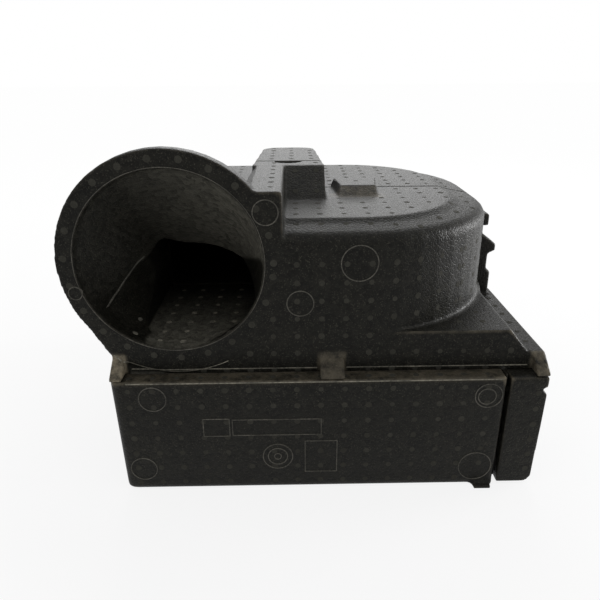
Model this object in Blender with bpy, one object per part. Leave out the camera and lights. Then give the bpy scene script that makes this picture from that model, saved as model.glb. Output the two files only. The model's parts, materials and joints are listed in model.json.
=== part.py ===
"""Air filter housing moulded in black bead foam, with a round outlet and a side drawer.

Units are metres and +Z is up. The outlet looks along -Y and the filter drawer pulls out
along +X. Sizes are measured in the box frame: X from the left side, Y from the front
face and Z from the underside of the tray. The finished model stands on the centre of
its own bounding box.
"""
from math import acos, cos, pi, radians, sin, tan

import bmesh
import bpy
from mathutils import Matrix, Vector

MM = 0.001

# Fits
CLEARANCE = 0.3 * MM
SLIDE_CLEARANCE = 0.8 * MM
OVERLAP = 3.0 * MM
FLUSH_STEP = 0.1 * MM
ARC_STEPS = 6
GRAIN = 6

# Overall box
BOX_WIDTH = 369.0 * MM
BOX_DEPTH = 342.0 * MM
DRAFT = tan(radians(1.0))

# Lower tray
LEDGE_HEIGHT = 112.0 * MM
LEDGE_DEPTH = 17.5 * MM
SHELF_HEIGHT = 97.0 * MM
SHELF_WIDTH = 12.5 * MM
TRAY_WALL = 18.0 * MM
TRAY_FLOOR = 18.0 * MM
TRAY_CORNER = 7.0 * MM
TRAY_FOOT_ROUND = 3.0 * MM
RUNNER_HEIGHT = 57.7 * MM
RUNNER_WIDTH = 12.0 * MM
TOE_WIDTH = 17.0 * MM
TOE_REACH = 4.0 * MM
TOE_HEIGHT = 3.0 * MM
TOE_SET = 2.0 * MM
SEAL_THICKNESS = 2.7 * MM
SEAL_WIDTH = 9.0 * MM

# Filter drawer front
DRAWER_THICKNESS = 32.5 * MM
GROOVE_WIDTH = 3.5 * MM
GROOVE_DEPTH = 6.0 * MM
DRAWER_LIFT = 2.5 * MM
DRAWER_TOP_GAP = 0.9 * MM
DRAWER_CORNER = 9.0 * MM
FINGER_NOTCH = 5.0 * MM
PLUG_REACH = 4.2 * MM

# Air inlet in the back wall
INLET_WIDTH = 200.0 * MM
INLET_HEIGHT = 28.0 * MM
INLET_BASE = 24.0 * MM
GRILLE_FLANGE = 8.0 * MM
GRILLE_THICKNESS = 4.0 * MM
GRILLE_BAR = 3.0 * MM
GRILLE_BARS = 3
GRILLE_POSTS = 4
PIN_HEAD_RADIUS = 3.2 * MM
PIN_HEAD_HEIGHT = 1.6 * MM
PIN_RADIUS = 1.6 * MM
PIN_LENGTH = 12.0 * MM
PIN_SEGMENTS = 12
PIN_NAMES = ("lower_left", "upper_left", "lower_right", "upper_right")

# Filter cassette
STRIP_THICKNESS = 1.7 * MM
FRAME_HEIGHT = 34.0 * MM
FRAME_DEPTH = 14.0 * MM
FRAME_WALL = 1.5 * MM
MAT_THICKNESS = 6.0 * MM
MEDIA_THICKNESS = 1.2 * MM
PLEAT_PITCH = 12.0 * MM
GRID_WIRE = 1.6 * MM
GRID_PITCH = 36.0 * MM
GASKET_WIDTH = 6.5 * MM
CLIP_WIDTH = 20.0 * MM
CLIP_THICKNESS = 2.0 * MM
CLIP_DROP = 16.0 * MM
CLIP_INSET = 75.0 * MM

# Hood rim and deck
SKIRT_TOP = 127.0 * MM
DECK_HEIGHT = 147.0 * MM
DECK_CHAMFER = 31.0 * MM
SIDE_STRIP = 15.0 * MM
SEAL_LEDGE = 8.5 * MM
POST_WIDTH = 11.0 * MM
LUG_NOSE = 2.0 * MM
RIB_WIDTH = 21.0 * MM
RIB_CENTRE = 186.5 * MM

# Scroll dome on the hood
DOME_LEFT = 5.0 * MM
DOME_INSET = 28.0 * MM
DOME_TOP = 239.0 * MM
DOME_SHOULDER = 222.0 * MM
DOME_FILLET = 11.0 * MM
DOME_FILLET_SWEEP = radians(75)
DOME_BAND = 27.0 * MM
DOME_BAND_DROP = 3.2 * MM
DOME_FLARE = 6.0 * MM
BAND_SPREAD = 0.35
DOME_WALL = 18.0 * MM
FRONT_RIGHT_RADIUS = 132.0 * MM
REAR_RIGHT_RADIUS = 126.0 * MM
REAR_LEFT_RADIUS = 55.0 * MM
FRONT_LEFT_RADIUS = 40.0 * MM
FLOOR_TOP = 135.0 * MM
FLOOR_UNDERSIDE = 112.0 * MM
EYE_RADIUS = 90.0 * MM
EYE_X = 209.0 * MM
SEAM_Y = 171.5 * MM
SEAM_GAP = 0.6 * MM
SEAM_SEAL_WIDTH = 5.0 * MM
SEAM_SEAL_DEPTH = 4.0 * MM
SEAM_BEND = 16.5 * MM

# Round outlet collar
COLLAR_X = 56.0 * MM
COLLAR_Z = 209.1 * MM
COLLAR_BORE_RADIUS = 75.0 * MM
COLLAR_RADIUS = 90.0 * MM
COLLAR_FOOT_RADIUS = 96.0 * MM
COLLAR_PLATE = 13.0 * MM
COLLAR_SEGMENTS = 48
COLLAR_STEP = 2.5 * MM
FOOT_START = radians(230)
FOOT_END = radians(302)
FOOT_STEPS = 10
FOOT_FULL = cos(radians(36))
FOOT_FADE = cos(radians(52))
HORN_DEPTH = 88.0 * MM
HORN_WALL = 14.0 * MM
HORN_RUN = 60.0 * MM
MOUTH_FALL = 88.5 * MM
MOUTH_DRAW_LEFT = 94.0 * MM
MOUTH_DRAW_RIGHT = 27.0 * MM
MOUTH_SWING = radians(26.7)
MOUTH_SKEW = 1.2
MOUTH_SLANT = 1.35

# Ear and raised channel on top
EAR_LEFT = 121.0 * MM
EAR_WIDTH = 26.0 * MM
EAR_FLARE = 9.5 * MM
EAR_SLOPE = 12.0 * MM
CHANNEL_TOP = 266.0 * MM
CHANNEL_LEFT = 116.0 * MM
CHANNEL_WIDTH = 70.0 * MM
CHANNEL_FRONT = 144.0 * MM
CHANNEL_BACK = 275.0 * MM
CHANNEL_TAPER = 6.0 * MM
CHANNEL_ROUND = 16.0 * MM
RAMP_RUN = 35.0 * MM
NOTCH_X = 150.5 * MM
NOTCH_RADIUS = 13.0 * MM
NOTCH_DEPTH = 12.0 * MM

# Tongue over the seam and side catch
TONGUE_LEFT = 193.0 * MM
TONGUE_WIDTH = 47.0 * MM
TONGUE_FRONT = 122.0 * MM
TONGUE_RAMP = 15.5 * MM
TONGUE_TAPER = 5.0 * MM
TONGUE_LEAN = 4.0 * MM
TONGUE_LAP = 4.0 * MM
TONGUE_HEIGHT = 8.5 * MM
CATCH_DEPTH = 20.0 * MM
CATCH_INSET = 7.0 * MM
CATCH_SLOT_DEPTH = 4.5 * MM
CATCH_NOSE_REACH = 2.5 * MM
CATCH_SLOT_BASE = 152.0 * MM
CATCH_NOSE_BASE = 172.0 * MM
CATCH_NOSE_HEIGHT = 10.0 * MM
CATCH_TOP = 193.0 * MM
KEEPER_BASE = 196.0 * MM
KEEPER_TOP = 209.0 * MM
KEEPER_RIGHT = 362.0 * MM
KEEPER_LENGTH = 84.0 * MM

# Places worked out from the sizes above
DRAWER_FACE = BOX_WIDTH - DRAWER_THICKNESS
TRAY_END = DRAWER_FACE - GROOVE_WIDTH
SEAL_BASE = SHELF_HEIGHT + CLEARANCE
HOOD_BASE = SEAL_BASE + SEAL_THICKNESS + CLEARANCE
BAY_FRONT = LEDGE_DEPTH + SHELF_WIDTH
BAY_BACK = BOX_DEPTH - TRAY_WALL
DOME_RIGHT = BOX_WIDTH - DOME_INSET
FRAME_BASE = RUNNER_HEIGHT + 2 * CLEARANCE + STRIP_THICKNESS
FRAME_TOP = FRAME_BASE + FRAME_HEIGHT
FRAME_LEFT = TRAY_WALL + SLIDE_CLEARANCE
FRAME_FRONT = BAY_FRONT + SLIDE_CLEARANCE
FRAME_BACK = BAY_BACK - SLIDE_CLEARANCE
PLUG_FACE = DRAWER_FACE - PLUG_REACH
FRAME_RIGHT = PLUG_FACE - 2 * CLEARANCE - CLIP_THICKNESS
ORIGIN = Vector(((COLLAR_X - COLLAR_RADIUS + BOX_WIDTH) / 2, (BOX_DEPTH - TOE_REACH) / 2, 0))


def clear_scene():
    """Remove every object of the open scene."""
    for item in list(bpy.data.objects):
        bpy.data.objects.remove(item, do_unlink=True)


def make_material(name, colour, roughness, metallic=0.0):
    """Return a plain Principled material."""
    material = bpy.data.materials.new(name)
    material.use_nodes = True
    shader = material.node_tree.nodes["Principled BSDF"]
    shader.inputs["Base Color"].default_value = (*colour, 1)
    shader.inputs["Roughness"].default_value = roughness
    shader.inputs["Metallic"].default_value = metallic
    material.diffuse_color = (*colour, 1)
    return material


def fillet_outline(corners, steps=ARC_STEPS):
    """Round each (u, v, radius) corner of a polygon with an arc of even steps."""
    points = []
    count = len(corners)
    for index, (u, v, radius) in enumerate(corners):
        here = Vector((u, v))
        before = (Vector(corners[index - 1][:2]) - here).normalized()
        after = (Vector(corners[(index + 1) % count][:2]) - here).normalized()
        if radius <= 0:
            points.append(here)
            continue
        half = acos(max(-1, min(1, before.dot(after)))) / 2
        centre = here + (before + after).normalized() * (radius / sin(half))
        start = here + before * (radius / tan(half)) - centre
        turn = pi - 2 * half
        if before.cross(after) > 0:
            turn = -turn
        for step in range(steps + 1):
            angle = turn * step / steps
            spin = Vector((start.x * cos(angle) - start.y * sin(angle),
                           start.x * sin(angle) + start.y * cos(angle)))
            points.append(centre + spin)
    return points


def rectangle(low_u, high_u, low_v, high_v):
    """Return the four corners of a rectangle."""
    pairs = ((low_u, low_v), (high_u, low_v), (high_u, high_v), (low_u, high_v))
    return [Vector(pair) for pair in pairs]


def circle(centre_u, centre_v, radius, segments):
    """Return the points of a circle, starting at its bottom."""
    angles = [2 * pi * index / segments - pi / 2 for index in range(segments)]
    return [Vector((centre_u + radius * cos(a), centre_v + radius * sin(a))) for a in angles]


def lift(outline, level, axis):
    """Place a flat outline at a level along the X, Y or Z axis."""
    if axis == "X":
        return [Vector((level, p.x, p.y)) for p in outline]
    if axis == "Y":
        return [Vector((p.x, level, p.y)) for p in outline]
    return [Vector((p.x, p.y, level)) for p in outline]


def vertex_rings(shape, loops):
    """Add loops of points, rounded so that flush faces share exactly one plane."""
    return [[shape.verts.new([round(c, GRAIN) for c in point]) for point in loop] for loop in loops]


def loft(loops):
    """Skin loops of equal length into one closed solid."""
    shape = bmesh.new()
    rings = vertex_rings(shape, loops)
    for low, high in zip(rings, rings[1:]):
        for index in range(len(low)):
            after = (index + 1) % len(low)
            shape.faces.new((low[index], low[after], high[after], high[index]))
    shape.faces.new(rings[0][::-1])
    shape.faces.new(rings[-1])
    bmesh.ops.recalc_face_normals(shape, faces=shape.faces)
    bmesh.ops.triangulate(shape, faces=shape.faces)
    return solid(shape)


def solid(shape):
    """Turn a bmesh into an unnamed object of the scene."""
    mesh = bpy.data.meshes.new("shape")
    shape.to_mesh(mesh)
    shape.free()
    item = bpy.data.objects.new("shape", mesh)
    bpy.context.scene.collection.objects.link(item)
    return item


def prism(outline, low, high, axis):
    """Extrude a flat outline between two levels."""
    return loft([lift(outline, low, axis), lift(outline, high, axis)])


def block(low_x, high_x, low_y, high_y, low_z, high_z):
    """Return a plain box."""
    return prism(rectangle(low_x, high_x, low_y, high_y), low_z, high_z, "Z")


def combine(base, tool, operation):
    """Apply one Boolean of a tool to a base and delete the tool."""
    modifier = base.modifiers.new("combine", "BOOLEAN")
    modifier.operation = operation
    modifier.solver = "EXACT"
    modifier.object = tool
    bpy.context.view_layer.update()
    graph = bpy.context.evaluated_depsgraph_get()
    mesh = bpy.data.meshes.new_from_object(base.evaluated_get(graph))
    base.modifiers.remove(modifier)
    base.data = mesh
    bpy.data.objects.remove(tool, do_unlink=True)
    return base


def add(base, *others):
    """Union other solids into the base."""
    for other in others:
        combine(base, other, "UNION")
    return base


def cut(base, *cutters):
    """Cut solids out of the base."""
    for cutter in cutters:
        combine(base, cutter, "DIFFERENCE")
    return base


def gather(items):
    """Join separate solids into one object of several bodies."""
    shape = bmesh.new()
    for item in items:
        shape.from_mesh(item.data)
        bpy.data.objects.remove(item, do_unlink=True)
    return solid(shape)


def band(outer, inner, low, high, axis):
    """Return a closed ring between two nested outlines of equal length."""
    shape = bmesh.new()
    levels = ((outer, low), (outer, high), (inner, high), (inner, low))
    loops = [lift(outline, level, axis) for outline, level in levels]
    rings = vertex_rings(shape, loops)
    for here, there in zip(rings, rings[1:] + rings[:1]):
        for index in range(len(here)):
            after = (index + 1) % len(here)
            shape.faces.new((here[index], here[after], there[after], there[index]))
    bmesh.ops.recalc_face_normals(shape, faces=shape.faces)
    return solid(shape)


# Lower tray and its inlet


def tray_outline(inset):
    """Return the tray's plan, drawn in by an inset on its three moulded sides."""
    return fillet_outline([
        (inset, inset, TRAY_CORNER),
        (TRAY_END, inset, 0),
        (TRAY_END, BOX_DEPTH - inset, 0),
        (inset, BOX_DEPTH - inset, TRAY_CORNER),
    ])


def inlet_left():
    """Return the left edge of the air inlet."""
    return (TRAY_END - INLET_WIDTH) / 2


def make_lower_tray():
    """Return the open foam tray with its front ledge, runner steps and back inlet."""
    drafted = LEDGE_HEIGHT * DRAFT
    tray = loft([
        lift(tray_outline(drafted + TRAY_FOOT_ROUND), 0, "Z"),
        lift(tray_outline(drafted), TRAY_FOOT_ROUND, "Z"),
        lift(tray_outline(0), LEDGE_HEIGHT, "Z"),
    ])
    beyond = TRAY_END + OVERLAP
    runner_front = BAY_FRONT + RUNNER_WIDTH
    runner_back = BAY_BACK - RUNNER_WIDTH
    left = inlet_left()
    flange_left = left - GRILLE_FLANGE - CLEARANCE
    flange_right = left + INLET_WIDTH + GRILLE_FLANGE + CLEARANCE
    flange_base = INLET_BASE - GRILLE_FLANGE - CLEARANCE
    flange_top = INLET_BASE + INLET_HEIGHT + GRILLE_FLANGE + CLEARANCE
    seat = grille_seat()
    above = LEDGE_HEIGHT + OVERLAP
    back = BOX_DEPTH + OVERLAP
    cut(
        tray,
        block(-OVERLAP, beyond, LEDGE_DEPTH - CLEARANCE, back, SHELF_HEIGHT, above),
        block(TRAY_WALL, beyond, BAY_FRONT, BAY_BACK, RUNNER_HEIGHT, above),
        block(TRAY_WALL + RUNNER_WIDTH, beyond, runner_front, runner_back, TRAY_FLOOR, above),
        block(flange_left, flange_right, seat, back, flange_base, flange_top),
        pin_holes(),
        block(left, left + INLET_WIDTH, runner_back - OVERLAP, back,
              INLET_BASE, INLET_BASE + INLET_HEIGHT),
    )
    toe_right = TRAY_END - TOE_SET
    return add(tray, block(toe_right - TOE_WIDTH, toe_right, -TOE_REACH, TRAY_WALL / 2, 0, TOE_HEIGHT))


def grille_seat():
    """Return the depth of the pocket floor that the grille lies on."""
    return BOX_DEPTH - LEDGE_HEIGHT * DRAFT - GRILLE_THICKNESS - CLEARANCE


def pin_places():
    """Return the (x, z) places of the four push pins in the grille's flange."""
    left = inlet_left()
    sides = (left - GRILLE_FLANGE / 2, left + INLET_WIDTH + GRILLE_FLANGE / 2)
    levels = (INLET_BASE - GRILLE_FLANGE / 2, INLET_BASE + INLET_HEIGHT + GRILLE_FLANGE / 2)
    return [(x, z) for x in sides for z in levels]


def pin_rods(radius, near, far):
    """Return four rods on the pins' axes between two depths."""
    return gather([prism(circle(x, z, radius, PIN_SEGMENTS), near, far, "Y") for x, z in pin_places()])


def pin_holes():
    """Return the cutter for the push pins' holes."""
    return pin_rods(PIN_RADIUS + CLEARANCE, grille_seat() - PIN_LENGTH, BOX_DEPTH + OVERLAP)


def make_inlet_grille():
    """Return the barred plastic plate over the air inlet."""
    left = inlet_left()
    base = INLET_BASE
    near = grille_seat() + CLEARANCE
    far = near + GRILLE_THICKNESS
    outer = rectangle(left - GRILLE_FLANGE, left + INLET_WIDTH + GRILLE_FLANGE,
                      base - GRILLE_FLANGE, base + INLET_HEIGHT + GRILLE_FLANGE)
    inner = rectangle(left, left + INLET_WIDTH, base, base + INLET_HEIGHT)
    grille = band(outer, inner, near, far, "Y")
    tie = GRILLE_FLANGE / 2
    inset = GRILLE_THICKNESS / 4
    rise = INLET_HEIGHT / (GRILLE_BARS + 1)
    run = INLET_WIDTH / (GRILLE_POSTS + 1)
    bars = [block(left - tie, left + INLET_WIDTH + tie, near + inset, far - inset,
                  base + rise * n - GRILLE_BAR / 2, base + rise * n + GRILLE_BAR / 2)
            for n in range(1, GRILLE_BARS + 1)]
    posts = [block(left + run * n - GRILLE_BAR / 2, left + run * n + GRILLE_BAR / 2,
                   near + 2 * inset, far - inset / 2, base - tie, base + INLET_HEIGHT + tie)
             for n in range(1, GRILLE_POSTS + 1)]
    add(grille, gather(bars), gather(posts))
    return cut(grille, pin_rods(PIN_RADIUS + CLEARANCE, near - OVERLAP, far + OVERLAP))


def make_grille_pin(x, z):
    """Return one push pin of the grille."""
    far = grille_seat() + 2 * CLEARANCE + GRILLE_THICKNESS
    stem = circle(x, z, PIN_RADIUS, PIN_SEGMENTS)
    head = circle(x, z, PIN_HEAD_RADIUS, PIN_SEGMENTS)
    return loft([
        lift(stem, far - PIN_LENGTH, "Y"),
        lift(stem, far, "Y"),
        lift(head, far, "Y"),
        lift(head, far + PIN_HEAD_HEIGHT, "Y"),
    ])


def make_tray_seal():
    """Return the foam strip that lies on the tray's shelf under the hood."""
    half = SEAL_WIDTH / 2
    left = TRAY_WALL / 2
    front = LEDGE_DEPTH + SHELF_WIDTH / 2
    back = BOX_DEPTH - TRAY_WALL / 2
    right = TRAY_END - SLIDE_CLEARANCE
    outline = [Vector(pair) for pair in (
        (left - half, front - half), (right, front - half), (right, front + half),
        (left + half, front + half), (left + half, back - half), (right, back - half),
        (right, back + half), (left - half, back + half),
    )]
    return prism(outline, SEAL_BASE, SEAL_BASE + SEAL_THICKNESS, "Z")


def make_guide_strip(front):
    """Return one thin wear strip on a runner step."""
    low = RUNNER_HEIGHT + CLEARANCE
    left = TRAY_WALL + SLIDE_CLEARANCE
    width = RUNNER_WIDTH - 2 * SLIDE_CLEARANCE
    start = BAY_FRONT + SLIDE_CLEARANCE if front else BAY_BACK - SLIDE_CLEARANCE - width
    right = PLUG_FACE - SLIDE_CLEARANCE
    return block(left, right, start, start + width, low, low + STRIP_THICKNESS)


# Filter drawer


def drawer_section(inset):
    """Return the drawer front's end view at a draft inset, in X and Z."""
    top = HOOD_BASE - DRAWER_TOP_GAP
    fall = top * DRAFT
    return fillet_outline([
        (DRAWER_FACE, DRAWER_LIFT, 0),
        (BOX_WIDTH - fall - inset, DRAWER_LIFT, DRAWER_CORNER),
        (BOX_WIDTH - inset, top - FINGER_NOTCH, FINGER_NOTCH / 3),
        (BOX_WIDTH - FINGER_NOTCH - inset, top, FINGER_NOTCH / 3),
        (DRAWER_FACE, top, 0),
    ])


def nose_section(inset):
    """Return the end view of the drawer's front corner, which carries on the tray's ledge."""
    base = HOOD_BASE - DRAWER_TOP_GAP
    top = LEDGE_HEIGHT + CLEARANCE - DRAWER_TOP_GAP - inset
    right = BOX_WIDTH - inset
    notch = right - FINGER_NOTCH
    return [Vector(pair) for pair in (
        (DRAWER_FACE, base - OVERLAP), (notch, base - OVERLAP), (notch, base),
        (right, base + FINGER_NOTCH / 2), (right, top), (DRAWER_FACE, top),
    )]


def make_drawer_front():
    """Return the thick foam end panel with the plug that closes the tray's open end."""
    edge = TRAY_FOOT_ROUND / 2
    top = HOOD_BASE - DRAWER_TOP_GAP
    fall = LEDGE_HEIGHT * DRAFT
    panel = loft([
        lift(drawer_section(edge), 0, "Y"),
        lift(drawer_section(0), edge, "Y"),
        lift(drawer_section(0), BOX_DEPTH - edge, "Y"),
        lift(drawer_section(edge), BOX_DEPTH, "Y"),
    ])
    nose = loft([
        lift(nose_section(edge), FLUSH_STEP, "Y"),
        lift(nose_section(0), edge, "Y"),
        lift(nose_section(0), LEDGE_DEPTH - SLIDE_CLEARANCE, "Y"),
    ])
    lean_front = [Vector((-OVERLAP, -OVERLAP)), Vector((fall, -OVERLAP)), Vector((0, LEDGE_HEIGHT)),
                  Vector((-OVERLAP, LEDGE_HEIGHT))]
    lean_back = [Vector((BOX_DEPTH + OVERLAP, -OVERLAP)), Vector((BOX_DEPTH + OVERLAP, LEDGE_HEIGHT)),
                 Vector((BOX_DEPTH, LEDGE_HEIGHT)), Vector((BOX_DEPTH - fall, -OVERLAP))]
    beyond = BOX_WIDTH + OVERLAP
    cut(
        add(panel, nose),
        prism(lean_front, DRAWER_FACE - OVERLAP, beyond, "X"),
        prism(lean_back, DRAWER_FACE - OVERLAP, beyond, "X"),
    )
    play = SLIDE_CLEARANCE
    low_front = BAY_FRONT + RUNNER_WIDTH + play
    low_back = BAY_BACK - RUNNER_WIDTH - play
    step = FRAME_BASE
    high = min(SHELF_HEIGHT, top) - play
    plug = [Vector(pair) for pair in (
        (low_front, TRAY_FLOOR + play), (low_back, TRAY_FLOOR + play), (low_back, step),
        (BAY_BACK - play, step), (BAY_BACK - play, high), (BAY_FRONT + play, high),
        (BAY_FRONT + play, step), (low_front, step),
    )]
    return add(panel, prism(plug, PLUG_FACE, DRAWER_FACE + OVERLAP, "X"))


def make_drawer_seal():
    """Return the U-shaped foam strip between the tray's open end and the drawer front."""
    play = SLIDE_CLEARANCE
    front = LEDGE_HEIGHT * DRAFT + GROOVE_DEPTH
    back = BOX_DEPTH - front
    base = DRAWER_LIFT + TRAY_FOOT_ROUND
    top = SHELF_HEIGHT - play
    inner_front = BAY_FRONT - play
    inner_back = BAY_BACK + play
    low = TRAY_FLOOR - play
    outline = [Vector(pair) for pair in (
        (front, base), (back, base), (back, top), (inner_back, top),
        (inner_back, low), (inner_front, low), (inner_front, top), (front, top),
    )]
    return prism(outline, TRAY_END + CLEARANCE, DRAWER_FACE - CLEARANCE, "X")


def channel(depth, base, height, wall, opens):
    """Return a C section in (u, v), with its back at 0 and its mouth towards `opens`."""
    reach = depth * opens
    thick = wall * opens
    return [Vector(pair) for pair in (
        (0, base), (reach, base), (reach, base + wall), (thick, base + wall),
        (thick, base + height - wall), (reach, base + height - wall), (reach, base + height),
        (0, base + height),
    )]


def make_frame_rail(side):
    """Return one C rail of the filter frame: front, rear, left or right."""
    inner_front = FRAME_FRONT + FRAME_DEPTH + CLEARANCE
    inner_back = FRAME_BACK - FRAME_DEPTH - CLEARANCE
    opens = 1 if side in ("front", "left") else -1
    at = {"front": FRAME_FRONT, "rear": FRAME_BACK, "left": FRAME_LEFT, "right": FRAME_RIGHT}[side]
    shape = channel(FRAME_DEPTH, FRAME_BASE, FRAME_HEIGHT, FRAME_WALL, opens)
    section = [Vector((p.x + at, p.y)) for p in shape]
    if side in ("front", "rear"):
        return prism(section, FRAME_LEFT, FRAME_RIGHT, "X")
    return prism(section, inner_front, inner_back, "Y")


def pack_bounds():
    """Return the X and Y limits of what lies inside the four rails."""
    inset = FRAME_WALL + CLEARANCE
    return FRAME_LEFT + inset, FRAME_RIGHT - inset, FRAME_FRONT + inset, FRAME_BACK - inset


def mat_base():
    """Return the underside of the coarse mat."""
    return FRAME_BASE + FRAME_WALL + CLEARANCE


def grid_base():
    """Return the underside of the wire grid."""
    return FRAME_TOP - FRAME_WALL - CLEARANCE - 1.5 * GRID_WIRE


def make_coarse_mat():
    """Return the flat coarse mat under the pleats."""
    left, right, front, back = pack_bounds()
    return block(left, right, front, back, mat_base(), mat_base() + MAT_THICKNESS)


def make_filter_media():
    """Return the pleated sheet as one folded solid of even thickness."""
    left, right, front, back = pack_bounds()
    low = mat_base() + MAT_THICKNESS + CLEARANCE
    high = grid_base() - CLEARANCE
    folds = max(2, int((right - left) / (PLEAT_PITCH / 2)) // 2 * 2)
    run = (right - left) / folds
    rise = MEDIA_THICKNESS * (high - low) / run
    lower = [Vector((left + run * n, low if n % 2 == 0 else high - rise)) for n in range(folds + 1)]
    upper = [Vector((p.x, p.y + rise)) for p in lower]
    return prism(lower + upper[::-1], front, back, "Y")


def make_support_grid():
    """Return the crossed wires over the pleats, welded into one grid."""
    left, right, front, back = pack_bounds()
    low = grid_base()
    across = max(1, int((back - front) / GRID_PITCH))
    along = max(1, int((right - left) / GRID_PITCH))
    half = GRID_WIRE / 2
    run_y = (back - front - GRID_WIRE) / across
    run_x = (right - left - GRID_WIRE) / along
    lower = [block(left, right, front + run_y * n, front + run_y * n + GRID_WIRE, low, low + GRID_WIRE)
             for n in range(across + 1)]
    upper = [block(left + run_x * n, left + run_x * n + GRID_WIRE, front, back,
                   low + half, low + half + GRID_WIRE)
             for n in range(along + 1)]
    return add(gather(lower), gather(upper))


def make_filter_gasket():
    """Return the endless foam gasket on the frame's clean side."""
    play = SLIDE_CLEARANCE
    left, right = FRAME_LEFT + play, FRAME_RIGHT - play
    front, back = FRAME_FRONT + play, FRAME_BACK - play
    outer = rectangle(left, right, front, back)
    inner = rectangle(left + GASKET_WIDTH, right - GASKET_WIDTH,
                      front + GASKET_WIDTH, back - GASKET_WIDTH)
    return band(outer, inner, FRAME_TOP + CLEARANCE, HOOD_BASE - 2 * CLEARANCE, "Z")


def make_cassette_clip(front):
    """Return one hook that ties the filter frame to the drawer front."""
    middle = FRAME_FRONT + CLIP_INSET if front else FRAME_BACK - CLIP_INSET
    leg_top = FRAME_BASE - CLEARANCE
    leg_base = leg_top - CLIP_THICKNESS
    right = PLUG_FACE - CLEARANCE
    lip = FRAME_RIGHT - FRAME_DEPTH - CLEARANCE
    section = [Vector(pair) for pair in (
        (lip - CLIP_THICKNESS, leg_base), (right - CLIP_THICKNESS, leg_base),
        (right - CLIP_THICKNESS, leg_base - CLIP_DROP), (right, leg_base - CLIP_DROP), (right, leg_top),
        (lip, leg_top), (lip, FRAME_BASE + FRAME_WALL), (lip - CLIP_THICKNESS, FRAME_BASE + FRAME_WALL),
    )]
    return prism(section, middle - CLIP_WIDTH / 2, middle + CLIP_WIDTH / 2, "Y")


# Hood with the scroll dome and the collar


def dome_outline(inset, right_inset):
    """Return the dome's plan, drawn in by an inset and by more on its round end."""
    left = DOME_LEFT + inset
    front = LEDGE_DEPTH + 2 * FLUSH_STEP + inset
    back = BOX_DEPTH - FLUSH_STEP - inset
    right = DOME_RIGHT - right_inset
    return fillet_outline([
        (left, front, max(FRONT_LEFT_RADIUS - inset, OVERLAP)),
        (right, front, FRONT_RIGHT_RADIUS - right_inset),
        (right, back, REAR_RIGHT_RADIUS - right_inset),
        (left, back, REAR_LEFT_RADIUS - inset),
    ], 2 * ARC_STEPS)


def fillet_levels(base, radius, sweep, steps=4):
    """Return (level, inset) pairs along a convex edge round."""
    angles = [sweep * n / steps for n in range(steps + 1)]
    return [(base + radius * sin(a), radius * (1 - cos(a))) for a in angles]


def dome_solid():
    """Return the outer body of the dome, from inside the deck to its flat top."""
    levels = fillet_levels(DOME_SHOULDER, DOME_FILLET, DOME_FILLET_SWEEP)
    middle = (levels[-1][1] + DOME_BAND) / 2
    levels.append((DOME_TOP - DOME_BAND_DROP, middle + DOME_BAND / 8))
    levels.append((DOME_TOP, DOME_BAND))
    loops = [lift(dome_outline(0, -DOME_FLARE), SKIRT_TOP, "Z")]
    for level, reach in cove_levels():
        loops.append(lift(dome_outline(0, -reach), level, "Z"))
    for level, inset in levels:
        wider = inset * (1 + BAND_SPREAD * inset / DOME_BAND)
        loops.append(lift(dome_outline(inset, wider), level, "Z"))
    return loft(loops)


def cove_levels(steps=4):
    """Return (level, reach) pairs of the small cove between the dome's wall and the deck."""
    angles = [pi / 2 * n / steps for n in range(steps + 1)]
    return [(DECK_HEIGHT + DOME_FLARE * (1 - cos(a)), DOME_FLARE * (1 - sin(a))) for a in angles]


def rim_solid():
    """Return the hood's lower band, with a chamfer and a flat strip along each side."""
    section = [Vector(pair) for pair in (
        (0, HOOD_BASE), (BOX_WIDTH, HOOD_BASE), (BOX_WIDTH, SKIRT_TOP),
        (BOX_WIDTH - SIDE_STRIP, SKIRT_TOP), (BOX_WIDTH - DECK_CHAMFER, DECK_HEIGHT),
        (DECK_CHAMFER, DECK_HEIGHT), (SIDE_STRIP, SKIRT_TOP), (0, SKIRT_TOP),
    )]
    return prism(section, LEDGE_DEPTH + 3 * FLUSH_STEP, BOX_DEPTH, "Y")


def wedge(left, width):
    """Return a lug on the ledge that slopes from the hood's wall down to the front face."""
    base = LEDGE_HEIGHT + CLEARANCE
    section = [Vector(pair) for pair in (
        (0, base), (LEDGE_DEPTH + OVERLAP, base), (LEDGE_DEPTH + OVERLAP, SKIRT_TOP),
        (LEDGE_DEPTH, SKIRT_TOP), (0, base + LUG_NOSE),
    )]
    return prism(section, left, left + width, "X")


def front_lugs():
    """Return the corner posts, the middle rib and the fin that closes the groove's upper end."""
    return [
        wedge(FLUSH_STEP, POST_WIDTH),
        wedge(BOX_WIDTH - POST_WIDTH - FLUSH_STEP, POST_WIDTH),
        wedge(RIB_CENTRE - RIB_WIDTH / 2, RIB_WIDTH),
        block(TRAY_END + CLEARANCE, DRAWER_FACE - SLIDE_CLEARANCE, GROOVE_DEPTH, LEDGE_DEPTH + OVERLAP,
              HOOD_BASE + FLUSH_STEP, LEDGE_HEIGHT - FLUSH_STEP),
    ]


def collar_rim():
    """Return the collar's outer edge, which widens towards its foot."""
    points = []
    for n in range(COLLAR_SEGMENTS):
        angle = 2 * pi * n / COLLAR_SEGMENTS - pi / 2
        low = max(0, min(1, (-sin(angle) - FOOT_FADE) / (FOOT_FULL - FOOT_FADE)))
        radius = COLLAR_RADIUS + (COLLAR_FOOT_RADIUS - COLLAR_RADIUS) * low * low * (3 - 2 * low)
        points.append(Vector((COLLAR_X + radius * cos(angle), COLLAR_Z + radius * sin(angle))))
    return points


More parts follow.
